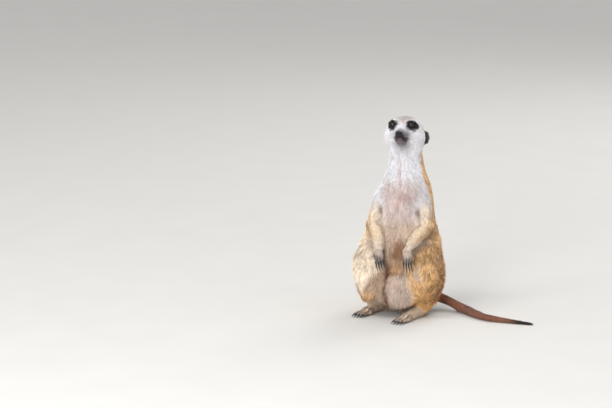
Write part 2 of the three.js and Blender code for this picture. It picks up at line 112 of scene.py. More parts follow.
def laid(colours: Array, *layers: tuple[Colour, Array]) -> Array:
    """Colours with display colours laid over them in turn, each as far as its mask."""
    for colour, mask in layers:
        colours = toward(colours, hue(*colour), mask)
    return colours


def hash_noise(points: Array, size: float, seed: int) -> Array:
    """Smooth noise from 0 to 1 whose blobs are about size across.

    Args:
        points: places, one row each.
        size: width of a blob, in the points' own unit.
        seed: another number gives another noise.

    Returns:
        One value for each point.
    """
    scaled = points / size
    base = np.floor(scaled).astype(np.int64)
    part = scaled - base
    part = part * part * (3.0 - 2.0 * part)
    total = np.zeros(len(points))
    for corner in range(8):
        step = np.array([corner & 1, (corner >> 1) & 1, (corner >> 2) & 1])
        cell = base + step
        mixed = (cell[:, 0] * 73856093) ^ (cell[:, 1] * 19349663) ^ (cell[:, 2] * 83492791) ^ (seed * 2654435)
        mixed = (mixed ^ (mixed >> 13)) * 1274126177
        value = ((mixed ^ (mixed >> 16)) & 65535) / 65535.0
        weight = np.prod(np.where(step == 1, part, 1.0 - part), axis=1)
        total += value * weight
    return total


def deselect() -> None:
    """Leaves object mode with nothing selected."""
    if bpy.context.object and bpy.context.object.mode != "OBJECT":
        bpy.ops.object.mode_set(mode="OBJECT")
    bpy.ops.object.select_all(action="DESELECT")


def choose(piece: bpy.types.Object) -> None:
    """Makes a piece the only one selected, and the active one."""
    deselect()
    piece.select_set(True)
    bpy.context.view_layer.objects.active = piece


def finish_modifier(piece: bpy.types.Object, kind: str, **settings: object) -> None:
    """Adds a modifier to a piece and applies it.

    Args:
        piece: the object.
        kind: the modifier's type.
        settings: its values by name.
    """
    choose(piece)
    bpy.ops.object.modifier_add(type=kind)
    modifier = piece.modifiers[-1]
    for name, value in settings.items():
        setattr(modifier, name, value)
    bpy.ops.object.modifier_apply(modifier=modifier.name)


def join(pieces: Sequence[bpy.types.Object], name: str) -> bpy.types.Object:
    """Joins pieces into the first one and names it.

    Args:
        pieces: the objects.
        name: the name of the joined one.

    Returns:
        The first piece, with all of them in it.
    """
    deselect()
    for piece in pieces:
        piece.select_set(True)
    bpy.context.view_layer.objects.active = pieces[0]
    bpy.ops.object.join()
    pieces[0].name = name
    pieces[0].data.name = name
    return pieces[0]


def settle(piece: bpy.types.Object) -> None:
    """Moves a piece's place, turn and size into its mesh."""
    choose(piece)
    bpy.ops.object.transform_apply(location=True, rotation=True, scale=True)


def placed(name: str, mesh: bpy.types.Mesh) -> bpy.types.Object:
    """Puts a mesh in the scene as a piece of its own."""
    piece = bpy.data.objects.new(name, mesh)
    bpy.context.scene.collection.objects.link(piece)
    return piece


def places(mesh: bpy.types.Mesh) -> Array:
    """The mesh's vertices in millimetres."""
    flat = np.empty(len(mesh.vertices) * 3)
    mesh.vertices.foreach_get("co", flat)
    return flat.reshape(-1, 3) / MM


def set_places(mesh: bpy.types.Mesh, points: Array) -> None:
    """Writes vertices that are given in millimetres."""
    mesh.vertices.foreach_set("co", (points * MM).astype(np.float32).ravel())
    mesh.update()


def normals(mesh: bpy.types.Mesh) -> Array:
    """The mesh's vertex normals."""
    flat = np.empty(len(mesh.vertices) * 3, np.float32)
    mesh.vertex_normals.foreach_get("vector", flat)
    return flat.reshape(-1, 3).astype(float)


def triangles(mesh: bpy.types.Mesh) -> Array:
    """Vertex numbers of the mesh's triangles."""
    mesh.calc_loop_triangles()
    flat = np.empty(len(mesh.loop_triangles) * 3, np.int32)
    mesh.loop_triangles.foreach_get("vertices", flat)
    return flat.reshape(-1, 3)


def paint(mesh: bpy.types.Mesh, colours: Array, name: str = "Coat") -> None:
    """Stores one linear colour for each vertex.

    Args:
        mesh: the mesh.
        colours: linear colours, one row each.
        name: the attribute's name.
    """
    layer = mesh.color_attributes.new(name=name, type="FLOAT_COLOR", domain="POINT")
    full = np.ones((len(colours), 4), np.float32)
    full[:, :3] = np.clip(colours, 0.0, 1.0)
    layer.data.foreach_set("color", full.ravel())


# ---------------------------------------------------------------- places of the body

@dataclass(frozen=True)
class Head:
    """Where the head is, and the face's own axes: x to its left, -y to the nose, z up."""

    middle: Place = (3.0, -21.0, 224.5)
    turn: float = 5.0
    tilt: float = -12.0
    nose: Place = (0.0, -39.2, -3.9)
    ear: Place = (18.0, 12.0, -4.5)

    def matrix(self) -> Matrix:
        """Face axes to the frame, in millimetres."""
        return (Matrix.Translation(Vector(self.middle))
                @ Matrix.Rotation(math.radians(self.turn), 4, "Z")
                @ Matrix.Rotation(math.radians(self.tilt), 4, "X"))

    def rotation(self) -> Array:
        """The turning part as an array."""
        return np.array(self.matrix().to_3x3())

    def inward(self, points: Array) -> Array:
        """Places in the frame as places in the face's axes."""
        return (points - np.array(self.middle)) @ self.rotation()

    def outward(self, points: Array) -> Array:
        """Places in the face's axes as places in the frame."""
        return points @ self.rotation().T + np.array(self.middle)

    def nosed(self, face: Array) -> Array:
        """How far each place of the face is from the nose."""
        return np.linalg.norm(face - np.array(self.nose), axis=1)


HEAD = Head()


@dataclass(frozen=True)
class Socket:
    """One eye's place and lids in the face's axes, given for the left side."""

    centre: Place = (10.8, -17.2, 7.3)
    radius: float = 4.9
    gaze: Place = (0.52, -0.83, 0.20)
    half_width: float = 4.2
    half_height: float = 3.2
    slant: float = 14.0
    lid: float = 0.45

    def axes(self) -> tuple[Array, Array, Array]:
        """Directions to the outer corner, up over the ball, and out of the pupil."""
        out = unit(np.array(self.gaze))
        side = unit(np.cross([0.0, 0.0, 1.0], out))
        up = np.cross(out, side)
        turn = math.radians(self.slant)
        return (side * math.cos(turn) + up * math.sin(turn),
                up * math.cos(turn) - side * math.sin(turn), out)

    def offsets(self, face: Array, side: float) -> tuple[Array, Array, Array]:
        """Distances from one ball's middle to its outer corner, upward, and out of the pupil."""
        mirrored = self.mirrored(face, side)
        outer, up, out = self.axes()
        return mirrored @ outer, mirrored @ up, mirrored @ out

    def middle(self, side: float) -> Array:
        """One ball's middle in the face's axes."""
        return np.array(self.centre) * np.array([side, 1.0, 1.0])

    def mirrored(self, face: Array, side: float) -> Array:
        """Places seen from one ball's middle, turned over for the right eye."""
        return face * np.array([side, 1.0, 1.0]) - np.array(self.centre)

    def chart(self, face: Array, side: float) -> tuple[Array, Array, Array, Array]:
        """Reads places round one eye.

        Args:
            face: places in the face's axes.
            side: 1 for the left eye, -1 for the right.

        Returns:
            Distance from the ball's middle, arc to the outer corner, arc upward, and how many lid
            openings the place is from the middle of the opening.
        """
        mirrored = self.mirrored(face, side)
        reach = np.maximum(np.linalg.norm(mirrored, axis=1), 1e-6)
        outer, up, out = self.axes()
        aim = mirrored / reach[:, None]
        angle = np.arccos(np.clip(aim @ out, -1.0, 1.0))
        spread = self.radius * angle / np.maximum(np.sin(angle), 1e-3)
        across = spread * (aim @ outer)
        above = spread * (aim @ up)
        opening = np.sqrt((across / self.half_width) ** 2 + (above / self.half_height) ** 2)
        opening = np.where(angle > 1.6, 9.0, opening)
        return reach, across, above, opening


SOCKET = Socket()


@dataclass(frozen=True)
class Mouth:
    """The closed mouth, as the height of its line for each distance forward, in the face's axes."""

    forward: tuple[float, ...] = (-38.0, -33.0, -27.0, -22.0, -17.0)
    height: tuple[float, ...] = (-8.9, -9.3, -9.6, -9.6, -9.2)
    corner: float = -18.8

    def gap(self, face: Array) -> Array:
        """How far above the mouth's line each place is."""
        return face[:, 2] - np.interp(face[:, 1], self.forward, self.height)

    def reach(self, face: Array) -> Array:
        """1 along the mouth, and 0 behind its corners."""
        return smooth(self.corner, self.corner - 3.5, face[:, 1])


MOUTH = Mouth()


@dataclass(frozen=True)
class Hair:
    """How one region's hair grows.

    Depth, length and width are in millimetres, density is in tufts for a square millimetre, clump is how far
    tufts are drawn into locks, and bend is how much the skin curves away under them, in one over millimetres.
    """

    depth: float
    length: float
    width: float
    density: float
    clump: float
    bend: float = 0.01


HAIR = {
    "head": Hair(1.3, 4.2, 0.36, 6.0, 0.20, 0.035),
    "neck": Hair(2.6, 7.0, 0.50, 4.2, 0.35, 0.022),
    "chest": Hair(3.0, 8.5, 0.58, 3.2, 0.45, 0.020),
    "abdomen": Hair(3.6, 10.0, 0.62, 3.0, 0.50, 0.020),
    "ear": Hair(0.35, 2.0, 0.30, 8.0, 0.10),
    "upper_arm": Hair(2.2, 7.0, 0.52, 3.8, 0.35, 0.012),
    "forearm": Hair(1.2, 4.8, 0.44, 5.0, 0.25),
    "hand": Hair(0.6, 2.4, 0.32, 9.0, 0.10),
    "thigh": Hair(3.6, 9.5, 0.62, 3.0, 0.55, 0.016),
    "shank": Hair(1.4, 5.0, 0.48, 4.4, 0.30),
    "foot": Hair(0.7, 2.6, 0.34, 8.0, 0.10),
    "tail_base": Hair(1.8, 5.5, 0.48, 5.0, 0.25, 0.0),
    "tail_middle": Hair(1.2, 4.6, 0.42, 6.0, 0.20, 0.0),
    "tail_tip": Hair(0.7, 4.0, 0.36, 8.0, 0.20, 0.0),
}

JOINTS = {
    "left": {"shoulder": (23, -24, 143), "elbow": (33, -31, 112), "wrist": (20, -68, 89),
             "fingers": (21.6, -74, 66), "hip": (23, -2, 46), "knee": (39, -48, 56),
             "ankle": (29, -22, 9.5), "ball": (16.7, -61.5, 6)},
    "right": {"shoulder": (-21, -26, 144), "elbow": (-31, -33, 113), "wrist": (-17, -66, 88),
              "fingers": (-13, -70, 65), "hip": (-27, -2, 46), "knee": (-41, -48, 58),
              "ankle": (-27, -4, 9.5), "ball": (-38, -38.5, 6)},
}
TAIL = ((8, 22, 22), (38, 24, 14), (70, 9, 6), (91, -13, 6), (108, -27, 5), (133, -32, 4), (165, -35, 2))
RUNS = {"upper_arm": ("shoulder", "elbow"), "forearm": ("elbow", "wrist"), "hand": ("wrist", "fingers"),
        "shank": ("knee", "ankle"), "foot": ("ankle", "ball")}


def shares_of(shares: Array, *regions: str) -> Array:
    """How much of some hair regions counts at each place."""
    return shares[:, [i for i, n in enumerate(FLESH) if region_of(n) in regions]].sum(axis=1)


def hair_of(shares: Array, measure: str) -> Array:
    """One measure of the hair at each place, blended over the regions."""
    return shares @ np.array([getattr(HAIR[region_of(n)], measure) for n in FLESH])


def arm_fold(points: Array, shares: Array) -> Array:
    """1 in the fold on an arm's inner side, less on its outer side, 0 on the shoulders and elsewhere.

    Args:
        points: places in millimetres, one row each.
        shares: how much of each flesh solid counts there.

    Returns:
        One value for each place.
    """
    arm = shares_of(shares, "upper_arm", "forearm")
    trunk = shares_of(shares, "chest", "abdomen", "neck")
    inner = np.zeros(len(points))
    for side, sign in SIDES.items():
        line = np.array([JOINTS[side][k] for k in ("wrist", "elbow", "shoulder")], float)
        middle = np.interp(points[:, 2], line[:, 2], line[:, 0])
        mine = points[:, 0] * sign > 0
        inner = np.where(mine, smooth(4.0, -3.0, (points[:, 0] - middle) * sign), inner)
    return (4.0 * arm * trunk) ** 2 * smooth(143, 130, points[:, 2]) * (0.25 + 0.75 * inner)


def region_of(node: str) -> str:
    """The hair region of a flesh solid."""
    return node.replace("_left", "").replace("_right", "")


def lie_of(node: str, points: Array, outward: Array) -> Array:
    """The way the hair lies on one flesh solid.

    Args:
        node: the solid's name.
        points: places in millimetres.
        outward: the skin's normals there.

    Returns:
        Directions, not yet laid flat on the skin.
    """
    region = region_of(node)
    side = "left" if node.endswith("_left") else "right"
    down = np.array([0.0, 0.0, -1.0])
    if region == "head":
        face = HEAD.inward(points)
        away = face - np.array(HEAD.nose) - np.array([0.0, -6.0, 2.0])
        return unit(away) @ HEAD.rotation().T
    if region == "ear":
        middle = HEAD.outward(np.array([HEAD.ear]) * np.array([SIDES[side], 1.0, 1.0]))
        return unit(points - middle) + 0.3 * down
    if region in RUNS:
        start, end = (np.array(JOINTS[side][k], float) for k in RUNS[region])
        return np.tile(unit(end - start), (len(points), 1))
    if region == "thigh":
        sign = SIDES[side]
        knee = np.array(JOINTS[side]["knee"], float)
        fore = unit(knee - points) * np.array([0.4, 1.0, 0.5])
        inner = smooth(0.2, 0.9, -outward[:, 0] * sign - 0.3 * outward[:, 1])
        return fore * (1 - inner)[:, None] + np.array([-0.15 * sign, -0.25, -0.75])
    if region.startswith("tail"):
        knots = np.array(TAIL, float)
        best = np.full(len(points), 1e9)
        flow = np.zeros((len(points), 3))
        for start, end in zip(knots[:-1], knots[1:]):
            run = end - start
            t = np.clip((points - start) @ run / (run @ run), 0.0, 1.0)
            gap = np.linalg.norm(points - start - t[:, None] * run, axis=1)
            flow[gap < best] = unit(run)
            best = np.minimum(best, gap)
        return flow
    aside = points[:, 0] - 2.0
    flank = smooth(0.30, 0.85, np.abs(outward[:, 0])) * smooth(0.75, 0.2, outward[:, 1])
    spread = np.zeros((len(points), 3))
    spread[:, 0] = 0.012 * aside + 0.55 * np.sign(aside) * flank
    spread[:, 1] = 0.75 * flank
    return down + spread


# ---------------------------------------------------------------- markings

@dataclass(frozen=True)
class Markings:
    """The coat's colours by place, the same for skin and hair."""

    white: Colour = (221, 219, 223)
    chest: Colour = (202, 184, 179)
    # painted shade on the upper chest, under the head and ear
    shade: Colour = (176, 164, 162)
    flush: Colour = (178, 142, 138)
    median: Colour = (186, 148, 144)
    belly: Colour = (192, 170, 152)
    wash: Colour = (176, 138, 104)
    patch: Colour = (136, 92, 56)
    low_patch: Colour = (178, 134, 90)
    lap: Colour = (203, 182, 166)
    lap_right: Colour = (176, 144, 114)
    # painted shade in the crease where the belly meets the thighs
    crease: Colour = (140, 94, 60)
    # painted shade in the seam between the two lobes of the lower belly
    seam: Colour = (104, 58, 28)
    # painted shade for the folds: a line at the waist, the armpits and the arms' inner folds
    fold: Colour = (120, 84, 56)
    ochre: Colour = (222, 180, 128)
    golden: Colour = (221, 165, 96)
    cream: Colour = (246, 230, 210)
    back: Colour = (172, 152, 122)
    nape: Colour = (190, 178, 158)
    band: Colour = (86, 62, 44)
    arm: Colour = (230, 210, 184)
    arm_outer: Colour = (208, 168, 118)
    wrist: Colour = (220, 204, 190)
    hand: Colour = (200, 182, 168)
    digit: Colour = (92, 82, 82)
    # painted shade between the fingers
    digit_gap_shade: Colour = (54, 46, 48)
    foot: Colour = (232, 209, 184)
    toe: Colour = (150, 132, 120)
    # painted shade between the toes
    toe_gap_shade: Colour = (74, 62, 58)
    tail: Colour = (160, 108, 82)
    tail_dark: Colour = (118, 78, 62)
    # painted shade on the tail's underside
    tail_under_shade: Colour = (104, 72, 58)
    tail_end: Colour = (36, 30, 29)
    eye_patch: Colour = (17, 15, 19)
    crown: Colour = (166, 149, 148)
    brow: Colour = (206, 176, 146)
    temple: Colour = (196, 168, 138)
    muzzle: Colour = (104, 101, 110)
    # grey hair beside the nose, deepened by painted shade on the left side
    nose_side_grey_and_shade: Colour = (100, 98, 108)
    nose_edge: Colour = (44, 40, 45)
    upper_lip: Colour = (52, 44, 49)
    lip: Colour = (38, 28, 31)
    lip_middle: Colour = (150, 104, 118)
    mouth_corner: Colour = (74, 70, 76)
    # grey chin, darkened by painted shade under the chin
    chin: Colour = (66, 62, 65)
    # painted shade under the jaw
    jaw: Colour = (128, 123, 125)
    ear: Colour = (112, 108, 102)
    ear_hollow: Colour = (38, 37, 38)
    digit_pitch: float = 3.5
    toe_pitch: float = 5.0
    band_pitch: float = 13.5
    # height of the painted shade line at the waist
    waist_shade: float = 75.0
    # places of the painted shade in the armpits
    armpit_shades: tuple[tuple[float, float], ...] = ((-19.6, 136.0), (23.1, 134.4))

    def body(self, points: Array) -> Array:
        """Colours of the neck and trunk.

        Args:
            points: places in millimetres, one row each.

        Returns:
            Linear colours, one row each.
        """
        x, y, z = points.T
        middle_y = np.interp(z, [0, 84, 128, 152, 200], [-4, -6, -13, -13, -13])
        round_angle = np.degrees(np.arctan2(np.abs(x - 1.0), -(y - middle_y)))
        fore = (y < middle_y).astype(float)
        ragged = hash_noise(points, 9.0, 6) - 0.5

        def oval(middle: tuple[float, float], wide: float | Array, tall: float, rough: float) -> Array:
            """How many half sizes each place is from an oval's middle, seen from the front."""
            return np.hypot((x - middle[0]) / wide, (z - middle[1]) / tall) + rough * ragged

        bib = smooth(176, 158, z + 9 * ragged) * smooth(24, 12, np.abs(x - 2.0) + 7 * ragged)
        # painted shade: the white of the upper chest greyed on the left side, where the head and ear shade it
        shade = smooth(5, 16, x + 6 * ragged) * bump(152, 17, z) * fore
        front = laid(plain(len(points), self.white), (self.chest, bib),
                     (self.belly, smooth(134, 112, z + 10 * ragged)), (self.shade, 0.6 * shade))
        pale = smooth(-18, -34, x) * smooth(30, 60, z) * smooth(112, 96, z)
        flank = laid(plain(len(points), self.ochre), (self.cream, 0.65 * pale))
        wave = z + 3.0 * np.sin(x / 9.0) + 5.0 * hash_noise(points, 14.0, 5)
        bands = smooth(0.15, 0.75, np.sin(wave * 2 * math.pi / self.band_pitch))
        bands = bands * smooth(22, 40, z) * smooth(150, 118, z)
        back = laid(plain(len(points), self.back), (self.nape, smooth(140, 195, z)),
                    (self.band, 0.62 * bands))
        reach = 46 + 10 * (hash_noise(points, 18.0, 9) - 0.5) + 15 * smooth(95, 125, z) \
            + np.where(x > 1, -4, 20) * smooth(150, 185, z)
        edge = np.interp(z, [90, 150], [26, 12])
        colours = front + (flank - front) * smooth(0, edge, round_angle - reach)[:, None]
        rear = 112 + 26 * (hash_noise(points, 11.0, 3) - 0.5)
        colours = colours + (back - colours) * smooth(-16, 34, round_angle - rear)[:, None]
        median = bump(1.5, 1.2, x + 1.2 * (hash_noise(points, 12.0, 4) - 0.5)) * fore
        taper = np.interp(z, [82, 98], [10.5, 6.0])
        lap = smooth(62, 56, z) * smooth(36, 24, np.abs(x + 2) + 10 * ragged) * fore
        # painted shade down the seam between the lower belly's lobes
        line = np.interp(z, [20, 60, 90, 110, 135], [-8.3, -8.8, -11.5, -14.5, -22.0])
        seam = bump(0.0, np.interp(z, [20, 60, 100], [3.0, 2.8, 2.0]), x - line + 1.2 * ragged) * fore
        return laid(
            colours,
            (self.median, 0.55 * median * smooth(128, 146, z) * smooth(212, 196, z)),
            (self.flush, 0.5 * smooth(1.3, 0.3, oval((6.0, 152.0), 9.0, 5.0, 0.6)) * fore),
            (self.wash, 0.6 * smooth(1.3, 0.5, oval((1.5, 78.0), 11.0, 22.0, 0.4)) * fore),
            (self.patch, 0.75 * smooth(1.25, 0.6, oval((6.3, 90.5), taper, 11.5, 0.5)) * fore),
            (self.low_patch, 0.65 * smooth(1.3, 0.5, oval((1.0, 67.0), 12.0, 8.0, 0.5)) * fore),
            (self.lap, 0.9 * lap),
            (self.lap_right, 0.6 * lap * smooth(-6, -16, x)),
            (self.golden, 0.75 * smooth(-18, -34, x + 8 * ragged) * smooth(50, 30, z) * fore),
            # painted shade along the crease over the thighs
            (self.crease, 0.75 * bump(60.5, 1.8, z + 1.5 * ragged) * smooth(34, 22, np.abs(x)) * fore),
            (self.seam, seam * np.interp(z, [14, 22, 58, 66, 100, 128], [0.0, 1.0, 1.0, 0.8, 0.75, 0.0])))

    def limbs(self, region: str, side: float, points: Array, outward: Array) -> Array:
        """Colours of one limb's length.

        Args:
            region: the hair region.
            side: 1 for the left, -1 for the right.
            points: places in millimetres.
            outward: normals there.

        Returns:
            Linear colours, one row each.
        """
        z = points[:, 2]
        ragged = hash_noise(points, 8.0, 12) - 0.5
        outer = smooth(0.0, 0.9, outward[:, 0] * side + 0.25 * outward[:, 1])
        wrist, heel, ball = (np.array(JOINTS["left" if side > 0 else "right"][k], float)
                             for k in ("wrist", "ankle", "ball"))
        base = {"hand": self.hand, "thigh": self.lap, "shank": self.golden if side > 0 else self.foot,
                "foot": self.foot}.get(region, self.arm)
        layers = []
        if region in ("upper_arm", "forearm"):
            layers = [(self.arm_outer, 0.75 * outer * smooth(92, 104, z) * smooth(152, 128, z)),
                      (self.white, 0.85 * smooth(118, 152, z + 12 * ragged)),
                      (self.wrist, 0.7 * smooth(104, 92, z))]
        elif region == "hand":
            low = smooth(87, 77, z + 6 * ragged)
            # painted shade between the fingers
            layers = [(self.digit, 0.75 * low),
                      (self.digit_gap_shade, 0.85 * low * self.gaps(points[:, 0] - wrist[0], self.digit_pitch))]
        elif region == "thigh" and side < 0:
            low = smooth(46, 26, z + 8 * ragged) * smooth(-0.3, 0.3, -outward[:, 0])
            layers = [(self.cream, 0.9 * smooth(24, 44, z)), (self.golden, 0.8 * low),
                      (self.ochre, 0.9 * smooth(0.1, 0.6, outward[:, 1]))]
        elif region == "thigh":
            low = smooth(64, 22, z + 10 * ragged)
            layers = [(self.ochre, smooth(-0.45, 0.05, outward[:, 0] + 0.7 * ragged)),
                      (self.golden, np.maximum(0.9 * low, 0.45 * outer))]
        elif region == "foot":
            along = (points - heel) @ unit(ball - heel) / np.linalg.norm(ball - heel)
            across = (points - heel) @ unit(np.cross(ball - heel, [0.0, 0.0, 1.0]))
            layers = [(self.golden, 0.5 * smooth(0.25, 0.05, along + 0.3 * ragged)),
                      # painted shade between the toes
                      (self.toe_gap_shade,
                       0.75 * self.gaps(across, self.toe_pitch) * smooth(0.80, 1.05, along)),
                      (self.toe, 0.7 * smooth(1.2, 1.5, along))]
        return laid(plain(len(points), base), *layers)

    def gaps(self, across: Array, pitch: float) -> Array:
        """1 between the digits of a paw, where shade is painted, and 0 on them."""
        return smooth(0.1, 0.9, np.cos(2 * math.pi * across / pitch))

    def face(self, points: Array) -> Array:
        """Colours of the head, ears left out.

        Args:
            points: places in millimetres, one row each.

        Returns:
            Linear colours, one row each.
        """
        face = HEAD.inward(points)
        x, y, z = face.T
        aside, gap = np.abs(x), MOUTH.gap(face)
        ragged = hash_noise(face, 3.0, 13) - 0.5
        nosed = HEAD.nosed(face)
        brow = bump(10.5, 1.3, z + 0.12 * aside + ragged) * smooth(9.0, 5.0, aside) * smooth(-8, -14, y)
        top = smooth(11.3, 14.7, z - 0.10 * y - 0.25 * aside + 2.5 * ragged)
        temple = smooth(17.0, 21.0, aside + 0.25 * y + 1.5 * ragged) * smooth(-1, 6, z) * smooth(-16, -8, y)
        rear = smooth(4, 16, y) * smooth(-16, -6, z)
        bridge = smooth(12.5, 6.5, nosed + 0.25 * aside + 3 * ragged) * smooth(-9, -5, z + 0.3 * aside)
        # grey beside the nose, much stronger on the left side as painted shade
        beside = bump(-5.5, 5.0, z) * smooth(-18, -27, y) * smooth(2.0, 4.5, aside)
        # grey chin with painted shade under it, darkest below the lip
        under = smooth(-0.6, -1.6, gap) * smooth(-16.0, -23.0, y + 3.0 * ragged)
        under = 0.9 * under * (0.5 + 0.5 * smooth(-17.5, -14.5, z + 2 * ragged))
        # painted shade under the jaw
        jaw = smooth(-11.0, -14.0, z) * smooth(-6, -18, y) * smooth(15, 7, aside + 3 * ragged)
        upper = smooth(-0.3, 0.4, gap) * smooth(10.5, 7.0, nosed + 0.3 * aside)
        upper = upper * smooth(-29, -33, y) * smooth(-4.2, -6.2, z)
        wide = 1.75 + 0.5 * smooth(2.0, 6.0, aside) * smooth(12.0, 8.0, aside)
        line = smooth(wide + 0.7, wide - 0.3, np.abs(gap)) * MOUTH.reach(face)
        around = np.linalg.norm((face - np.array(HEAD.nose)) / np.array([4.3, 3.8, 3.3]), axis=1)
        return laid(
            plain(len(points), self.white),
            (self.brow, 0.6 * brow),
            (self.crown, 0.80 * top),
            (self.temple, 0.85 * np.maximum(temple, rear)),
            (self.muzzle, 0.7 * bridge),
            (self.nose_side_grey_and_shade, np.where(x > 0, 0.92, 0.35) * beside),
            (self.chin, under),
            (self.jaw, 0.6 * jaw),
            *((self.eye_patch, self.round_eye(face, side)) for side in SIDES.values()),
            (self.upper_lip, 0.95 * upper),
            (self.lip, 0.97 * line),
            (self.mouth_corner, 0.8 * bump(-21.5, 2.6, y) * bump(-0.4, 1.6, gap)),
            (self.lip_middle, 0.7 * bump(0.6, 2.6, x) * bump(-1.5, 1.0, gap) * smooth(-31, -34, y)),
            (self.nose_edge, smooth(1.22, 0.95, around)))

    def round_eye(self, face: Array, side: float) -> Array:
        """How far the dark patch round one eye covers each place of the face.

        Args:
            face: places in the face's axes.
            side: 1 for the left, -1 for the right.

        Returns:
            One value for each place.
        """
        across, above, out = SOCKET.offsets(face, side)
        rough = hash_noise(face, 1.6, 11) - 0.5
        wide = np.where(across > 0, 10.0, 6.6)
        tall = np.where(above > 0, 5.4, 5.6)
        droop = above + 0.16 * np.maximum(across, 0.0)
        patch = np.sqrt((across / wide) ** 2 + (droop / tall) ** 2) + 0.42 * rough
        near = (out > -6.0) & (across > -9.0)
        point = bump(0.3, 1.9, across) * smooth(-3.5, -5, above) * smooth(-9.5, -7.0, above)
        return np.maximum(smooth(1.16, 0.84, patch) * near, 0.9 * point * near)

    def tail_at(self, points: Array, outward: Array) -> Array:
        """Colours along the tail.

        Args:
            points: places in millimetres, one row each.
            outward: normals there.

        Returns:
            Linear colours, one row each.
        """
        along = points[:, 0]
        return laid(plain(len(points), self.tail), (self.golden, 0.45 * smooth(40, 16, along)),
                    (self.tail_dark, 0.7 * smooth(60, 120, along)),
                    # painted shade: the tail darker where it faces down
                    (self.tail_under_shade, 0.5 * smooth(-0.2, -0.8, outward[:, 2])),
                    (self.tail_end, smooth(128, 150, along)))

    def ears(self, points: Array) -> Array:
        """Colours of the ears: grey hair at the rim, and a darker hollow."""
        face = HEAD.inward(points)
        hollow = np.column_stack([np.abs(face[:, 0]), face[:, 1], face[:, 2]]) - np.array([23.6, 12.6, -5.0])
        mask = smooth(8.1, 6.1, np.linalg.norm(hollow, axis=1))
        return laid(plain(len(points), self.ear), (self.ear_hollow, 0.9 * mask))

    def at(self, points: Array, outward: Array, shares: Array) -> Array:
        """Colours anywhere on the body.

        Args:
            points: places in millimetres.
            outward: normals there.
            shares: how much of each flesh solid's region counts at each place.

        Returns:
            Linear colours, one row each.
        """
        total = np.zeros((len(points), 3))
        trunk = self.body(points)
        for column, node in enumerate(FLESH):
            share = shares[:, column]
            used = share > 0.003
            if not used.any():
                continue
            region = region_of(node)
            if region in ("neck", "chest", "abdomen"):
                part = trunk[used]
            elif region == "head":
                part = self.face(points[used])
            elif region == "ear":
                part = self.ears(points[used])
            elif region.startswith("tail"):
                part = self.tail_at(points[used], outward[used])
            else:
                side = 1.0 if node.endswith("_left") else -1.0
                part = self.limbs(region, side, points[used], outward[used])
            total[used] += part * share[used, None]
        x, z = points[:, 0], points[:, 2]
        # painted shade in the folds: a line at the waist, the armpits and the arms' inner folds
        waist_shade = bump(self.waist_shade, 2.6, z + 5.0 * (hash_noise(points, 7.0, 15) - 0.5))
        waist_shade *= smooth(13, 22, x) * smooth(0.4, -0.2, outward[:, 1]) * shares_of(shares, "abdomen", "thigh")
        armpit_shade_masks = [smooth(1.4, 0.3, np.hypot((x - pit_x) / 3.2, (z - pit_z) / 6.5)) * (outward[:, 1] < 0.1)
                for pit_x, pit_z in self.armpit_shades]
        return laid(total, (self.fold, 0.34 * waist_shade), *((self.fold, 0.7 * pit) for pit in armpit_shade_masks),
                    (self.fold, 0.55 * arm_fold(points, shares)))


MARKINGS = Markings()


# ---------------------------------------------------------------- finishes

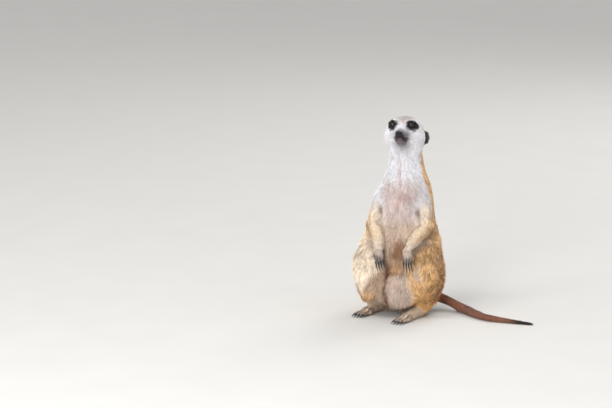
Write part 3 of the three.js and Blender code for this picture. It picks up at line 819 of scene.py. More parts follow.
class Grain:
    """A shader node group that gives hair and skin their fine streaks and dullness."""

    NAME = "hair_grain"
    SOCKETS = (("INPUT", "Color", "Colour"), ("INPUT", "Float", "Scale"), ("INPUT", "Float", "Depth"),
               ("INPUT", "Float", "Dull"), ("OUTPUT", "Color", "Colour"), ("OUTPUT", "Float", "Roughness"),
               ("OUTPUT", "Float", "Height"))
    COARSE_SCALE = 0.22
    COARSE_SHARE = 0.5
    NOISE_RANGE = (0.45, 1.05)
    DULL_SHARE = 0.2

    @staticmethod
    def worked(tree: bpy.types.NodeTree, kind: str,
               *values: bpy.types.NodeSocket | float) -> bpy.types.NodeSocket:
        """Adds a math node, links sockets to it and sets numbers on its own sockets.

        Args:
            tree: the group's own tree.
            kind: the node's operation.
            values: for each of its sockets, another socket or a number.

        Returns:
            The node's outcome.
        """
        node = tree.nodes.new("ShaderNodeMath")
        node.operation = kind
        for socket, value in zip(node.inputs, values):
            if isinstance(value, float):
                socket.default_value = value
            else:
                tree.links.new(value, socket)
        return node.outputs[0]

    @classmethod
    def group(cls) -> bpy.types.NodeTree:
        """Builds the group once and returns it."""
        if cls.NAME in bpy.data.node_groups:
            return bpy.data.node_groups[cls.NAME]
        tree = bpy.data.node_groups.new(cls.NAME, "ShaderNodeTree")
        for way, kind, name in cls.SOCKETS:
            tree.interface.new_socket(name, in_out=way, socket_type=f"NodeSocket{kind}")
        link = tree.links.new
        entry, leave = tree.nodes.new("NodeGroupInput"), tree.nodes.new("NodeGroupOutput")
        place = tree.nodes.new("ShaderNodeTexCoord")
        slower = cls.worked(tree, "MULTIPLY", entry.outputs["Scale"], cls.COARSE_SCALE)
        noises = []
        for scale, detail in ((entry.outputs["Scale"], 3.0), (slower, 2.0)):
            noise = tree.nodes.new("ShaderNodeTexNoise")
            noise.inputs["Detail"].default_value = detail
            link(place.outputs["Object"], noise.inputs["Vector"])
            link(scale, noise.inputs["Scale"])
            noises.append(noise.outputs["Fac"])
        both = cls.worked(tree, "MULTIPLY_ADD", noises[1], cls.COARSE_SHARE, noises[0])
        level = tree.nodes.new("ShaderNodeMapRange")
        for name, value in zip(("From Min", "From Max"), cls.NOISE_RANGE):
            level.inputs[name].default_value = value
        link(both, level.inputs["Value"])
        link(cls.worked(tree, "SUBTRACT", 1.0, entry.outputs["Depth"]), level.inputs["To Min"])
        link(cls.worked(tree, "ADD", 1.0, entry.outputs["Depth"]), level.inputs["To Max"])
        tint = tree.nodes.new("ShaderNodeVectorMath")
        tint.operation = "SCALE"
        link(entry.outputs["Colour"], tint.inputs[0])
        link(level.outputs["Result"], tint.inputs["Scale"])
        dull = cls.worked(tree, "MULTIPLY_ADD", noises[0], cls.DULL_SHARE, entry.outputs["Dull"])
        link(tint.outputs[0], leave.inputs["Colour"])
        link(dull, leave.inputs["Roughness"])
        link(both, leave.inputs["Height"])
        return tree


@dataclass(frozen=True)
class Finish:
    """One finish: a base colour or a painted attribute, with grain over it."""

    name: str
    colour: Colour | None = None
    scale: float = 900.0
    depth: float = 0.15
    dull: float = 0.62
    relief: float = 0.2
    relief_size: float = 0.0003
    sheen: float = 0.0
    specular: float = 0.35
    coat: float = 0.0

    def make(self) -> bpy.types.Material:
        """Builds the material once and returns it."""
        if self.name in bpy.data.materials:
            return bpy.data.materials[self.name]
        material = bpy.data.materials.new(self.name)
        material.use_nodes = True
        tree = material.node_tree
        shader = tree.nodes["Principled BSDF"]
        grain = tree.nodes.new("ShaderNodeGroup")
        grain.node_tree = Grain.group()
        for name, value in (("Scale", self.scale), ("Depth", self.depth), ("Dull", self.dull)):
            grain.inputs[name].default_value = value
        if self.colour is None:
            painted = tree.nodes.new("ShaderNodeAttribute")
            painted.attribute_name = "Coat"
            tree.links.new(painted.outputs["Color"], grain.inputs["Colour"])
        else:
            grain.inputs["Colour"].default_value = (*hue(*self.colour), 1.0)
        tree.links.new(grain.outputs["Colour"], shader.inputs["Base Color"])
        tree.links.new(grain.outputs["Roughness"], shader.inputs["Roughness"])
        if self.relief:
            relief = tree.nodes.new("ShaderNodeBump")
            relief.inputs["Strength"].default_value = self.relief
            relief.inputs["Distance"].default_value = self.relief_size
            tree.links.new(grain.outputs["Height"], relief.inputs["Height"])
            tree.links.new(relief.outputs["Normal"], shader.inputs["Normal"])
        for name, value in (("Specular IOR Level", self.specular), ("Sheen Weight", self.sheen),
                            ("Sheen Roughness", 0.5), ("Coat Weight", self.coat), ("Coat Roughness", 0.03)):
            shader.inputs[name].default_value = value
        return material


class Finishes(Enum):
    """The finishes used on the animal and round it."""

    SKIN = Finish("skin", scale=1400.0, depth=0.22, dull=0.66, relief=0.5, relief_size=0.0004, specular=0.2)
    COAT = Finish("coat", scale=700.0, depth=0.12, dull=0.5, relief=0.0, sheen=0.15, specular=0.3)
    EYE = Finish("eye_ball", scale=3000.0, depth=0.25, dull=0.35, relief=0.0, specular=0.0, coat=0.65)
    NOSE = Finish("nose_leather", scale=2600.0, depth=0.35, dull=0.36, relief=0.8)
    CLAW = Finish("claw_horn", scale=1200.0, depth=0.2, dull=0.24, relief=0.3, relief_size=0.0001,
                  specular=0.5)
    WHISKER = Finish("whisker", scale=900.0, depth=0.1, dull=0.4, relief=0.0)
    FLOOR = Finish("floor", colour=(205, 203, 200), scale=14.0, depth=0.02, dull=0.6, relief=0.0,
                   specular=0.2)

    def dress(self, piece: bpy.types.Object) -> None:
        """Gives the finish to a piece as its only material."""
        piece.data.materials.clear()
        piece.data.materials.append(self.value.make())


def sphere(name: str, segments: int, rings: int, radius: float) -> bpy.types.Object:
    """Adds a ball as a piece.

    Args:
        name: the piece's name.
        segments: faces round it.
        rings: faces from pole to pole.
        radius: half its width, in metres.

    Returns:
        The ball.
    """
    deselect()
    bpy.ops.mesh.primitive_uv_sphere_add(segments=segments, ring_count=rings, radius=radius)
    piece = bpy.context.object
    piece.name = name
    return piece


def shaped(piece: bpy.types.Object, points: Array, colours: Array, finish: Finishes) -> bpy.types.Object:
    """Gives a ball its shape, its colours, smooth shading and its finish.

    Args:
        piece: the ball.
        points: its vertices in millimetres.
        colours: linear colours, one row each.
        finish: its finish.

    Returns:
        The same piece.
    """
    set_places(piece.data, points)
    paint(piece.data, colours)
    choose(piece)
    bpy.ops.object.shade_smooth()
    finish.dress(piece)
    return piece


# ---------------------------------------------------------------- the skin

class Ring:
    """Each vertex's neighbours on a mesh, for evening values out."""

    def __init__(self, mesh: bpy.types.Mesh) -> None:
        """Reads the neighbours from the mesh's edges.

        Args:
            mesh: the mesh.
        """
        flat = np.empty(len(mesh.edges) * 2, np.int32)
        mesh.edges.foreach_get("vertices", flat)
        pairs = flat.reshape(-1, 2)
        here = np.concatenate([pairs[:, 0], pairs[:, 1]])
        there = np.concatenate([pairs[:, 1], pairs[:, 0]])
        order = np.argsort(here, kind="stable")
        self.there = there[order]
        self.counts = np.bincount(here, minlength=len(mesh.vertices))
        self.starts = np.concatenate([[0], np.cumsum(self.counts)[:-1]])

    def even(self, values: Array, times: int, factor: float | Array = 0.5) -> Array:
        """Draws each value towards its neighbours' mean.

        Args:
            values: one row for each vertex.
            times: how often.
            factor: how far each time, one number or a column of them.

        Returns:
            The evened values.
        """
        for _ in range(times):
            mean = np.add.reduceat(values[self.there], self.starts, axis=0) / self.counts[:, None]
            values = values + factor * (mean - values)
        return values


@dataclass
class Hide:
    """What the coat needs to know of the finished skin."""

    points: Array
    outward: Array
    flow: Array
    shares: Array
    faces: Array
    charts: Array


@dataclass
class Skin:
    """One closed skin over all the flesh solids, sunk by the coat's depth."""

    voxel: float = 1.25
    grown: float = 0.45
    # painted shade: the skin darkened under the coat
    under_coat_shade: float = 0.80
    fine_face: tuple[Place, float] = ((0.0, -14.0, 0.0), 31.0)
    fine_ear: tuple[Place, float] = ((21.5, 16.0, -4.5), 11.5)
    lid_clay: float = 0.7
    nose_bed: tuple[Place, Place] = ((0.0, -38.2, -4.4), (4.4, 3.0, 3.8))
    lid_edge: float = 0.84
    behind_lids: float = 0.84

    def clay(self, nodes: dict[str, bpy.types.Object]) -> bpy.types.Object:
        """Joins grown copies of the flesh solids with the clay of the lids and nose bed.

        Args:
            nodes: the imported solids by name.

        Returns:
            One object with all the shells in it.
        """
        shells = []
        for name in FLESH:
            mesh = nodes[name].data.copy()
            work = bmesh.new()
            work.from_mesh(mesh)
            bmesh.ops.remove_doubles(work, verts=work.verts, dist=1e-5)
            bmesh.ops.recalc_face_normals(work, faces=work.faces)
            work.to_mesh(mesh)
            work.free()
            set_places(mesh, places(mesh) + normals(mesh) * self.grown)
            shells.append(placed(f"clay_{name}", mesh))
        for side in SIDES.values():
            shells.append(self.ball(SOCKET.middle(side), (SOCKET.radius + self.lid_clay,) * 3))
        shells.append(self.ball(*self.nose_bed))
        return join(shells, "meerkat_skin")

    def ball(self, centre: Sequence[float], size: Sequence[float]) -> bpy.types.Object:
        """A clay ball at a place of the face, of the given half sizes, turned as the head is.

        Args:
            centre: its middle in the face's axes.
            size: its half sizes in millimetres.

        Returns:
            The ball.
        """
        deselect()
        place = Vector(HEAD.outward(np.array([centre]))[0]) * MM
        bpy.ops.mesh.primitive_uv_sphere_add(segments=32, ring_count=20, radius=1.0, location=place,
                                             rotation=HEAD.matrix().to_euler())
        piece = bpy.context.object
        piece.scale = Vector(size) * MM
        settle(piece)
        return piece

    def remeshed(self, clay: bpy.types.Object) -> None:
        """Runs the shells together and makes the head's faces smaller.

        Args:
            clay: the joined shells.
        """
        clay.data.materials.clear()
        finish_modifier(clay, "REMESH", mode="VOXEL", voxel_size=self.voxel * MM, adaptivity=0.0)
        work = bmesh.new()
        work.from_mesh(clay.data)
        face = HEAD.inward(np.array([f.calc_center_median() for f in work.faces]) / MM)
        aside = np.column_stack([np.abs(face[:, 0]), face[:, 1], face[:, 2]])

        def within(points: Array, middle: Place, reach: float) -> Array:
            """Which places lie nearer to a middle than the reach."""
            return np.linalg.norm(points - np.array(middle), axis=1) < reach

        near = (face[:, 1] < 4.0) & within(face, *self.fine_face) & (face[:, 2] > -19)
        near |= within(aside, *self.fine_ear) & (aside[:, 0] > 16.5)
        chosen = [f for f, keep in zip(work.faces, near) if keep]
        edges = list({e for f in chosen for e in f.edges})
        bmesh.ops.subdivide_edges(work, edges=edges, cuts=1, use_grid_fill=True)
        bmesh.ops.triangulate(work, faces=work.faces)
        work.to_mesh(clay.data)
        work.free()

    def regions(self, mesh: bpy.types.Mesh, nodes: dict[str, bpy.types.Object]) -> Array:
        """For each vertex, the number of the flesh solid that it lies on.

        Args:
            mesh: the skin.
            nodes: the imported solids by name.

        Returns:
            One number for each vertex.
        """
        corners, polygons, owner = [], [], []
        for column, name in enumerate(FLESH):
            part = nodes[name].data
            start = len(corners)
            corners.extend(v.co[:] for v in part.vertices)
            for tri in triangles(part):
                polygons.append(tuple(int(k) + start for k in tri))
                owner.append(column)
        tree = BVHTree.FromPolygons(corners, polygons)
        return np.array([owner[tree.find_nearest(v.co)[2]] for v in mesh.vertices])

    def depth(self, points: Array, shares: Array, outward: Array) -> Array:
        """How far the skin lies under the coat's tips.

        Args:
            points: places in millimetres, one row each.
            shares: how much of each flesh solid counts there.
            outward: normals there.

        Returns:
            One depth for each place.
        """
        head = shares_of(shares, "head")
        shallow = 0.35 + 1.25 * smooth(8, 42, HEAD.nosed(HEAD.inward(points)))
        depth = hair_of(shares, "depth") * (1 - head) + shallow * head + 1.6 * arm_fold(points, shares)
        floor = smooth(3.5, 1.2, points[:, 2]) * smooth(-0.35, -0.8, outward[:, 2])
        return depth * (1 - floor)

    def sculpt(self, points: Array, outward: Array) -> Array:
        """Opens the lids, and cuts the mouth and the folds of the face.

        Args:
            points: vertices in millimetres.
            outward: their normals.

        Returns:
            The moved vertices.
        """
        face = HEAD.inward(points)
        gap = MOUTH.gap(face)
        cut = (-1.15 * bump(0.0, 0.8, gap) + 0.40 * bump(1.8, 0.9, gap) + 0.25 * bump(-1.8, 0.9, gap)) \
            * MOUTH.reach(face)
        groove = -0.45 * bump(0.0, 0.6, face[:, 0]) * smooth(-37.5, -39.5, face[:, 1]) \
            * smooth(-10, -8, face[:, 2])
        face = face + (outward @ HEAD.rotation()) * (cut + groove)[:, None]
        for side in SIDES.values():
            face = self.lidded(face, side)
        return HEAD.outward(face)

    def lidded(self, face: Array, side: float) -> Array:
        """Lays the lids over one eyeball, turns their edges in, and sinks the skin behind the opening.

        Args:
            face: places in the face's axes.
            side: 1 for the left eye, -1 for the right.

        Returns:
            The moved places.
        """
        outer, up, out = SOCKET.axes()
        reach, across, above, opening = SOCKET.chart(face, side)
        near = (reach < SOCKET.radius + 7.0) & (opening < 8.0)
        aim = SOCKET.mirrored(face, side) / reach[:, None]
        on_lid = SOCKET.radius + SOCKET.lid + 0.35 * smooth(1.0, 1.4, opening)
        blend = smooth(2.7, 1.25, opening)
        wanted = reach * (1 - blend) + np.maximum(np.minimum(reach, on_lid + 0.6), on_lid) * blend
        fold = np.where(above > 0, -0.40, -0.22) * bump(1.85, 0.22, opening)
        wanted = wanted + fold + 0.25 * bump(1.45, 0.2, opening)
        rim = (opening >= self.lid_edge) & (opening < 1.0)
        scale = np.where(rim, 1.0 / np.maximum(opening, 0.1), 1.0)
        angle = np.sqrt((across * scale) ** 2 + (above * scale) ** 2) / SOCKET.radius
        flat = unit(np.column_stack([across, above]))
        edge = (np.sin(angle) * flat[:, 0])[:, None] * outer + (np.sin(angle) * flat[:, 1])[:, None] * up \
            + np.cos(angle)[:, None] * out
        aim = np.where(rim[:, None], edge, aim)
        wanted = np.where(rim, SOCKET.radius + 0.28, wanted)
        wanted = np.where(opening < self.lid_edge, SOCKET.radius * self.behind_lids, wanted)
        moved = (aim * wanted[:, None] + np.array(SOCKET.centre)) * np.array([side, 1.0, 1.0])
        return np.where(near[:, None], moved, face)

    def unwrap(self, piece: bpy.types.Object) -> None:
        """Lays the skin's own shape out flat in a map named OFBake.

        Args:
            piece: the skin.
        """
        piece.data.uv_layers.new(name="OFBake")
        choose(piece)
        bpy.ops.object.mode_set(mode="EDIT")
        bpy.ops.mesh.select_all(action="SELECT")
        bpy.ops.uv.smart_project(angle_limit=math.radians(80), island_margin=0.001)
        bpy.ops.object.mode_set(mode="OBJECT")

    def build(self, nodes: dict[str, bpy.types.Object]) -> tuple[bpy.types.Object, Hide]:
        """Makes the skin.

        Args:
            nodes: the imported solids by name.

        Returns:
            The skin, and what the coat needs to know of it.
        """
        piece = self.clay(nodes)
        self.remeshed(piece)
        mesh = piece.data
        ring = Ring(mesh)
        owner = self.regions(mesh, nodes)
        shares = ring.even(np.eye(len(FLESH))[owner], 14)
        points = places(mesh)
        small = shares_of(shares, "hand", "foot", "tail_tip", "ear")
        large = shares_of(shares, "neck", "chest", "abdomen", "thigh", "upper_arm")
        points = ring.even(points, 10, (0.5 - 0.40 * small)[:, None])
        points = ring.even(points, 30, (0.5 * large)[:, None])
        set_places(mesh, points)
        outward = unit(ring.even(normals(mesh), 2))
        sink = ring.even(self.depth(points, shares, outward)[:, None], 4)[:, 0] + self.grown
        points = points - outward * sink[:, None]
        points = ring.even(points, 3, (0.4 - 0.3 * small)[:, None])
        points[:, 2] = np.maximum(points[:, 2], 0.0)
        set_places(mesh, points)
        points = self.sculpt(points, unit(ring.even(normals(mesh), 2)))
        set_places(mesh, points)
        outward = normals(mesh)
        calm = unit(ring.even(outward, 6))
        flow = np.zeros((len(points), 3))
        for column, node in enumerate(FLESH):
            flow += shares[:, column, None] * unit(lie_of(node, points, calm))
        flow = self.round_eyes(points, flow)
        flow = ring.even(flow, 4)
        flow = unit(flow - calm * np.sum(flow * calm, axis=1, keepdims=True))
        # painted shade: the skin's colours darkened under the coat
        paint(mesh, MARKINGS.at(points, calm, shares) * self.under_coat_shade)
        for polygon in mesh.polygons:
            polygon.use_smooth = True
        self.unwrap(piece)
        Finishes.SKIN.dress(piece)
        return piece, Hide(points, calm, flow, shares, triangles(mesh), self.charts(mesh))

    def round_eyes(self, points: Array, flow: Array) -> Array:
        """Turns the lie of the hair away from the lids.

        Args:
            points: places in millimetres, one row each.
            flow: the lie of the hair there.

        Returns:
            The changed directions.
        """
        face = HEAD.inward(points)
        for side in SIDES.values():
            reach, _, _, opening = SOCKET.chart(face, side)
            away = unit(face - SOCKET.middle(side)) @ HEAD.rotation().T
            mask = smooth(2.6, 1.3, opening) * (reach < 12)
            flow = flow * (1 - mask)[:, None] + away * mask[:, None]
        return flow

    def charts(self, mesh: bpy.types.Mesh) -> Array:
        """The unwrap's place of each triangle's three corners.

        Args:
            mesh: the skin.

        Returns:
            For each triangle, three places in the map.
        """
        layer = np.empty(len(mesh.loops) * 2, np.float32)
        mesh.uv_layers["OFBake"].data.foreach_get("uv", layer)
        loops = np.empty(len(mesh.loop_triangles) * 3, np.int32)
        mesh.loop_triangles.foreach_get("loops", loops)
        return layer.reshape(-1, 2)[loops].reshape(-1, 3, 2)


# ---------------------------------------------------------------- the coat

@dataclass(frozen=True)
class Patch:
    """One piece of the coat: its regions, which half of them, and the steps along its tufts."""

    name: str
    regions: tuple[str, ...]
    half: str = "all"
    steps: tuple[float, ...] = (0.0, 0.36, 0.72)
    lock: int = 14
    split_x: float = 2.5
    split_y: float = -8.0

    def share(self, middles: Array) -> Array:
        """Which triangles are on this half.

        Args:
            middles: the triangles' middles in millimetres.

        Returns:
            One yes or no for each triangle.
        """
        if self.half in SIDES:
            return (middles[:, 0] - self.split_x) * SIDES[self.half] > 0
        if self.half == "front":
            return middles[:, 1] < self.split_y
        if self.half == "rear":
            return middles[:, 1] >= self.split_y
        return np.ones(len(middles), bool)


SHORT = (0.0, 0.5)
PATCHES = (
    Patch("coat_head_left", ("head", "ear"), "left", SHORT),
    Patch("coat_head_right", ("head", "ear"), "right", SHORT),
    Patch("coat_neck", ("neck",)),
    Patch("coat_chest_front", ("chest",), "front"),
    Patch("coat_chest_rear", ("chest",), "rear"),
    Patch("coat_abdomen_front", ("abdomen",), "front", lock=16),
    Patch("coat_abdomen_rear", ("abdomen",), "rear", lock=16),
    Patch("coat_arms", ("upper_arm", "forearm")),
    Patch("coat_thigh_left", ("thigh", "shank"), "left", lock=16),
    Patch("coat_thigh_right", ("thigh", "shank"), "right", lock=16),
    Patch("coat_paws", ("hand", "foot"), "all", SHORT),
    Patch("coat_tail", ("tail_base", "tail_middle", "tail_tip"), "all", SHORT),
)


@dataclass
class Coat:
    """Flat tapered tufts over the whole skin, in pieces by region."""

    hide: Hide
    chart: float = 0.003
    most: int = 196000
    brown_hair: Colour = (122, 80, 46)
    grey_hair: Colour = (96, 92, 98)
    pale_tip: Colour = (248, 230, 190)
    dark_tip: Colour = (70, 52, 40)
    rng: np.random.Generator = field(default_factory=lambda: np.random.default_rng(SEED))

    def roots(self, patch: Patch) -> dict[str, Array]:
        """Scatters tuft roots over one piece's part of the skin.

        Args:
            patch: the piece's regions and half.

        Returns:
            Arrays of place, normal, lie, shares and unwrap place, one row for each root.
        """
        hide = self.hide
        columns = [i for i, n in enumerate(FLESH) if region_of(n) in patch.regions]
        corner = hide.points[hide.faces]
        span = np.cross(corner[:, 1] - corner[:, 0], corner[:, 2] - corner[:, 0])
        area = 0.5 * np.linalg.norm(span, axis=1)
        shares = hide.shares[hide.faces].mean(axis=1)
        mine = np.isin(np.argmax(shares, axis=1), columns) & patch.share(corner.mean(axis=1))
        count = area * hair_of(shares, "density") * mine
        count *= 1.0 + 1.6 * smooth(34, 10, HEAD.nosed(HEAD.inward(corner.mean(axis=1))))
        scale = min(1.0, self.most / (2 * len(patch.steps) - 1) / max(count.sum(), 1.0))
        number = self.rng.poisson(count * scale)
        pick = np.repeat(np.arange(len(number)), number)
        weights = self.rng.dirichlet((1.0, 1.0, 1.0), len(pick))[:, :, None]
        tri = hide.faces[pick]

        def blend(values: Array) -> Array:
            """Values of the corners as values at the roots."""
            return (values[tri] * weights).sum(axis=1)

        return {
            "point": blend(hide.points), "normal": unit(blend(hide.outward)), "flow": unit(blend(hide.flow)),
            "shares": blend(hide.shares), "chart": (hide.charts[pick] * weights).sum(axis=1),
        }

    def kept(self, roots: dict[str, Array]) -> dict[str, Array]:
        """Leaves out roots on the eyes, the lips, the nose and the soles.

        Args:
            roots: the tufts' roots.

        Returns:
            The roots that are left.
        """
        face = HEAD.inward(roots["point"])
        keep = np.ones(len(face), bool)
        for side in SIDES.values():
            reach, _, _, opening = SOCKET.chart(face, side)
            keep &= ~((opening < 1.22) & (reach < 9))
        nosed = np.linalg.norm((face - np.array(HEAD.nose)) / np.array([5.2, 4.0, 4.3]), axis=1)
        keep &= nosed > 1.0
        keep &= (np.abs(MOUTH.gap(face)) > 0.6) | (MOUTH.reach(face) < 0.3)
        keep &= ~((roots["point"][:, 2] < 1.2) & (roots["normal"][:, 2] < -0.5))
        return {k: v[keep] for k, v in roots.items()}

    def sizes(self, roots: dict[str, Array]) -> tuple[Array, Array, Array, Array]:
        """Length, width, depth and clumping of each tuft.

        Args:
            roots: the tufts' roots.

        Returns:
            Length, width and depth in millimetres, and clumping from 0 to 1.
        """
        shares = roots["shares"]
        length, width, depth, clump = (hair_of(shares, k) for k in ("length", "width", "depth", "clump"))
        face = HEAD.inward(roots["point"])
        head = shares_of(shares, "head")
        grows = smooth(7, 48, HEAD.nosed(face))
        length = length * (1 - head) + head * (1.3 + 3.9 * grows)
        width = width * (1 - head) + head * (0.26 + 0.22 * grows)
        depth = depth * (1 - head) + head * (0.35 + 1.25 * grows)
        for side in SIDES.values():
            reach, _, _, opening = SOCKET.chart(face, side)
            close = smooth(3.0, 1.2, opening) * (reach < 12)
            length *= 1 - 0.5 * close
            width *= 1 - 0.3 * close
        count = len(length)
        length *= self.rng.uniform(0.72, 1.15, count)
        width *= self.rng.uniform(0.7, 1.2, count)
        return length, width, depth, clump

    def clumped(self, roots: dict[str, Array], size: int, clump: Array) -> tuple[Array, Array, Array]:
        """Draws tips that stand close together into locks.

        Args:
            roots: the tufts' roots.
            size: about how many tufts make a lock.
            clump: how much each tuft gives way to its lock.

        Returns:
            How far each tip is drawn aside, the number of its lock, and 0 to 1 from its middle outward.
        """
        points = roots["point"]
        squeezed = points * np.array([1.0, 0.7, 0.38])
        centres = self.rng.choice(len(points), max(1, len(points) // size), replace=False)
        tree = KDTree(len(centres))
        for number, place in enumerate(squeezed[centres]):
            tree.insert(place, number)
        tree.balance()
        lock = np.array([tree.find(p)[1] for p in squeezed])
        aim = points[centres][lock] - points
        aim -= roots["normal"] * np.sum(aim * roots["normal"], axis=1, keepdims=True)
        aim -= roots["flow"] * np.sum(aim * roots["flow"], axis=1, keepdims=True)
        gap = np.linalg.norm(aim, axis=1)
        edge = np.clip(gap / (2.2 * np.median(gap)), 0.0, 1.0)
        return aim * clump[:, None] * 1.5, lock, edge

    def tints(self, roots: dict[str, Array], lock: Array, edge: Array) -> tuple[Array, Array, Array]:
        """Colours of each tuft at its root, its middle and its tip.

        Args:
            roots: the tufts' roots.
            lock: the number of each tuft's lock.
            edge: 0 in the middle of a lock to 1 at its edge.

        Returns:
            Linear colours of the roots, the middles and the tips.
        """
        points, shares = roots["point"], roots["shares"]
        colour = MARKINGS.at(points, roots["normal"], shares)
        count = len(points)
        trunk = shares_of(shares, "abdomen", "thigh", "chest", "neck", "upper_arm")
        rear = smooth(0.1, 0.8, roots["normal"][:, 1]) * trunk
        per_lock = self.rng.normal(0.0, 1.0, lock.max() + 1)[lock]
        single = self.rng.normal(0.0, 1.0, count)
        warm = smooth(0.20, 0.48, colour[:, 0] - colour[:, 2])
        streaked = warm * trunk
        level = 1.0 + 0.06 * per_lock + 0.095 * single + streaked * (0.12 * per_lock + 0.10 * single)
        tinged = smooth(0.02, 0.20, colour[:, 0] - colour[:, 2])
        mottle = hash_noise(points * np.array([1.0, 0.7, 0.3]), 3.2, 17) - 0.5
        level += (0.14 + 0.20 * tinged) * trunk * mottle
        level *= 1.0 - (0.05 + 0.14 * streaked) * edge ** 2
        middle = colour * np.clip(level, 0.45, 1.5)[:, None]
        dark = (self.rng.random(count) < 0.17 * warm) & (trunk > 0.5)
        middle = laid(middle, (self.brown_hair, 0.6 * dark))
        tip = middle * (1.06 + 0.22 * streaked)[:, None]
        pale = streaked * (per_lock > 0.1) * (1 - dark) * (1 - 0.6 * edge)
        speck = (self.rng.random(count) < 0.35) * rear
        tip = laid(tip, (self.pale_tip, 0.75 * pale), (self.dark_tip, 0.6 * speck))
        muzzle = smooth(30, 18, HEAD.nosed(HEAD.inward(points)))
        grey = (self.rng.random(count) < 0.3) * muzzle * shares_of(shares, "head")
        middle = laid(middle, (self.grey_hair, 0.5 * grey))
        # painted shade: each tuft darker at its root, deep in the coat
        root = middle * (0.62 - 0.12 * tinged)[:, None]
        return root, middle, tip

    def strands(self, roots: dict[str, Array], steps: tuple[float, ...],
                size: int) -> tuple[Array, Array, Array]:
        """Builds the tufts' vertices, colours and unwrap places.

        Args:
            roots: the tufts' roots.
            steps: where along each tuft it has a pair of vertices, before its one at the tip.
            size: about how many tufts make a lock.

        Returns:
            Vertices in millimetres, colours, and the map's places, one row for each vertex.
        """
        length, width, depth, clump = self.sizes(roots)
        aside, lock, edge = self.clumped(roots, size, clump)
        count = len(length)
        normal, flow = roots["normal"], roots["flow"]
        streaked = shares_of(roots["shares"], "abdomen", "thigh")
        wave = hash_noise(roots["point"], 6.5, 31) - 0.5
        turn = self.rng.normal(0.0, 0.16, count) + 1.1 * wave * streaked
        across = np.cross(normal, flow)
        flow = unit(flow * np.cos(turn)[:, None] + across * np.sin(turn)[:, None])
        across = np.cross(normal, flow)
        roll = self.rng.normal(0.0, 0.42, count)
        flat = across * np.cos(roll)[:, None] + normal * np.sin(roll)[:, None]
        lift = depth * self.rng.uniform(0.70, 1.08, count) * (1.06 - 0.34 * edge)
        lift *= 1.0 + 0.7 * streaked * (self.rng.random(count) < 0.08)
        bend = hair_of(roots["shares"], "bend")
        colours = self.tints(roots, lock, edge)
        rows, tinted, mapped = [], [], []
        for t in (*steps, 1.0):
            run = length * t
            rise = lift * (1 - (1 - t) ** 1.8) - 0.35 * (t == 0)
            middle = roots["point"] + flow * run[:, None] + normal * (rise - 0.5 * bend * run * run)[:, None]
            middle = middle + aside * t ** 1.5
            shade = colours[0] * max(0.0, 1 - 2 * t) + colours[1] * (1 - abs(2 * t - 1)) \
                + colours[2] * max(0.0, 2 * t - 1)
            place = roots["chart"] + np.array([0.0, self.chart * (t - 0.5)])
            signs = (-1.0, 1.0) if t < 1.0 else (0.0,)
            half = width * 0.5 * min(1.0, 1.45 * (1 - t) + 0.12)
            for sign in signs:
                rows.append(middle + flat * (half * sign)[:, None])
                tinted.append(shade)
                mapped.append(place + np.array([sign * self.chart * 0.5, 0.0]))
        vertices = np.stack(rows, axis=1).reshape(-1, 3)
        vertices[:, 2] = np.maximum(vertices[:, 2], 0.05)
        return vertices, np.stack(tinted, axis=1).reshape(-1, 3), np.stack(mapped, axis=1).reshape(-1, 2)

    def piece(self, patch: Patch) -> bpy.types.Object:
        """Makes one piece of the coat.

        Args:
            patch: the piece's name, regions, half and steps.

        Returns:
            The finished mesh object.
        """
        roots = self.kept(self.roots(patch))
        vertices, colours, charts = self.strands(roots, patch.steps, patch.lock)
        count, pairs = len(roots["point"]), len(patch.steps)
        pattern = [[2 * k, 2 * k + 1, 2 * k + 3] for k in range(pairs - 1)]
        pattern += [[2 * k, 2 * k + 3, 2 * k + 2] for k in range(pairs - 1)]
        pattern.append([2 * pairs - 2, 2 * pairs - 1, 2 * pairs])
        step = (2 * pairs + 1) * np.arange(count)
        faces = (np.array(pattern)[None] + step[:, None, None]).reshape(-1, 3)
        mesh = bpy.data.meshes.new(patch.name)
        mesh.vertices.add(len(vertices))
        mesh.vertices.foreach_set("co", (vertices * MM).astype(np.float32).ravel())
        mesh.loops.add(faces.size)
        mesh.loops.foreach_set("vertex_index", faces.astype(np.int32).ravel())
        mesh.polygons.add(len(faces))
        mesh.polygons.foreach_set("loop_start", np.arange(0, faces.size, 3, dtype=np.int32))
        mesh.polygons.foreach_set("use_smooth", np.ones(len(faces), bool))
        mesh.update(calc_edges=True)
        paint(mesh, colours)
        layer = mesh.uv_layers.new(name="OFBake")
        layer.data.foreach_set("uv", np.clip(charts, 0, 1)[faces.ravel()].astype(np.float32).ravel())
        mesh.validate()
        piece = placed(patch.name, mesh)
        Finishes.COAT.dress(piece)
        LOG.info("%s: %d tufts, %d triangles", patch.name, count, len(faces))
        return piece

    def build(self) -> list[bpy.types.Object]:
        """Makes every piece of the coat."""
        return [self.piece(patch) for patch in PATCHES]


# ---------------------------------------------------------------- eyes, nose, claws, whiskers

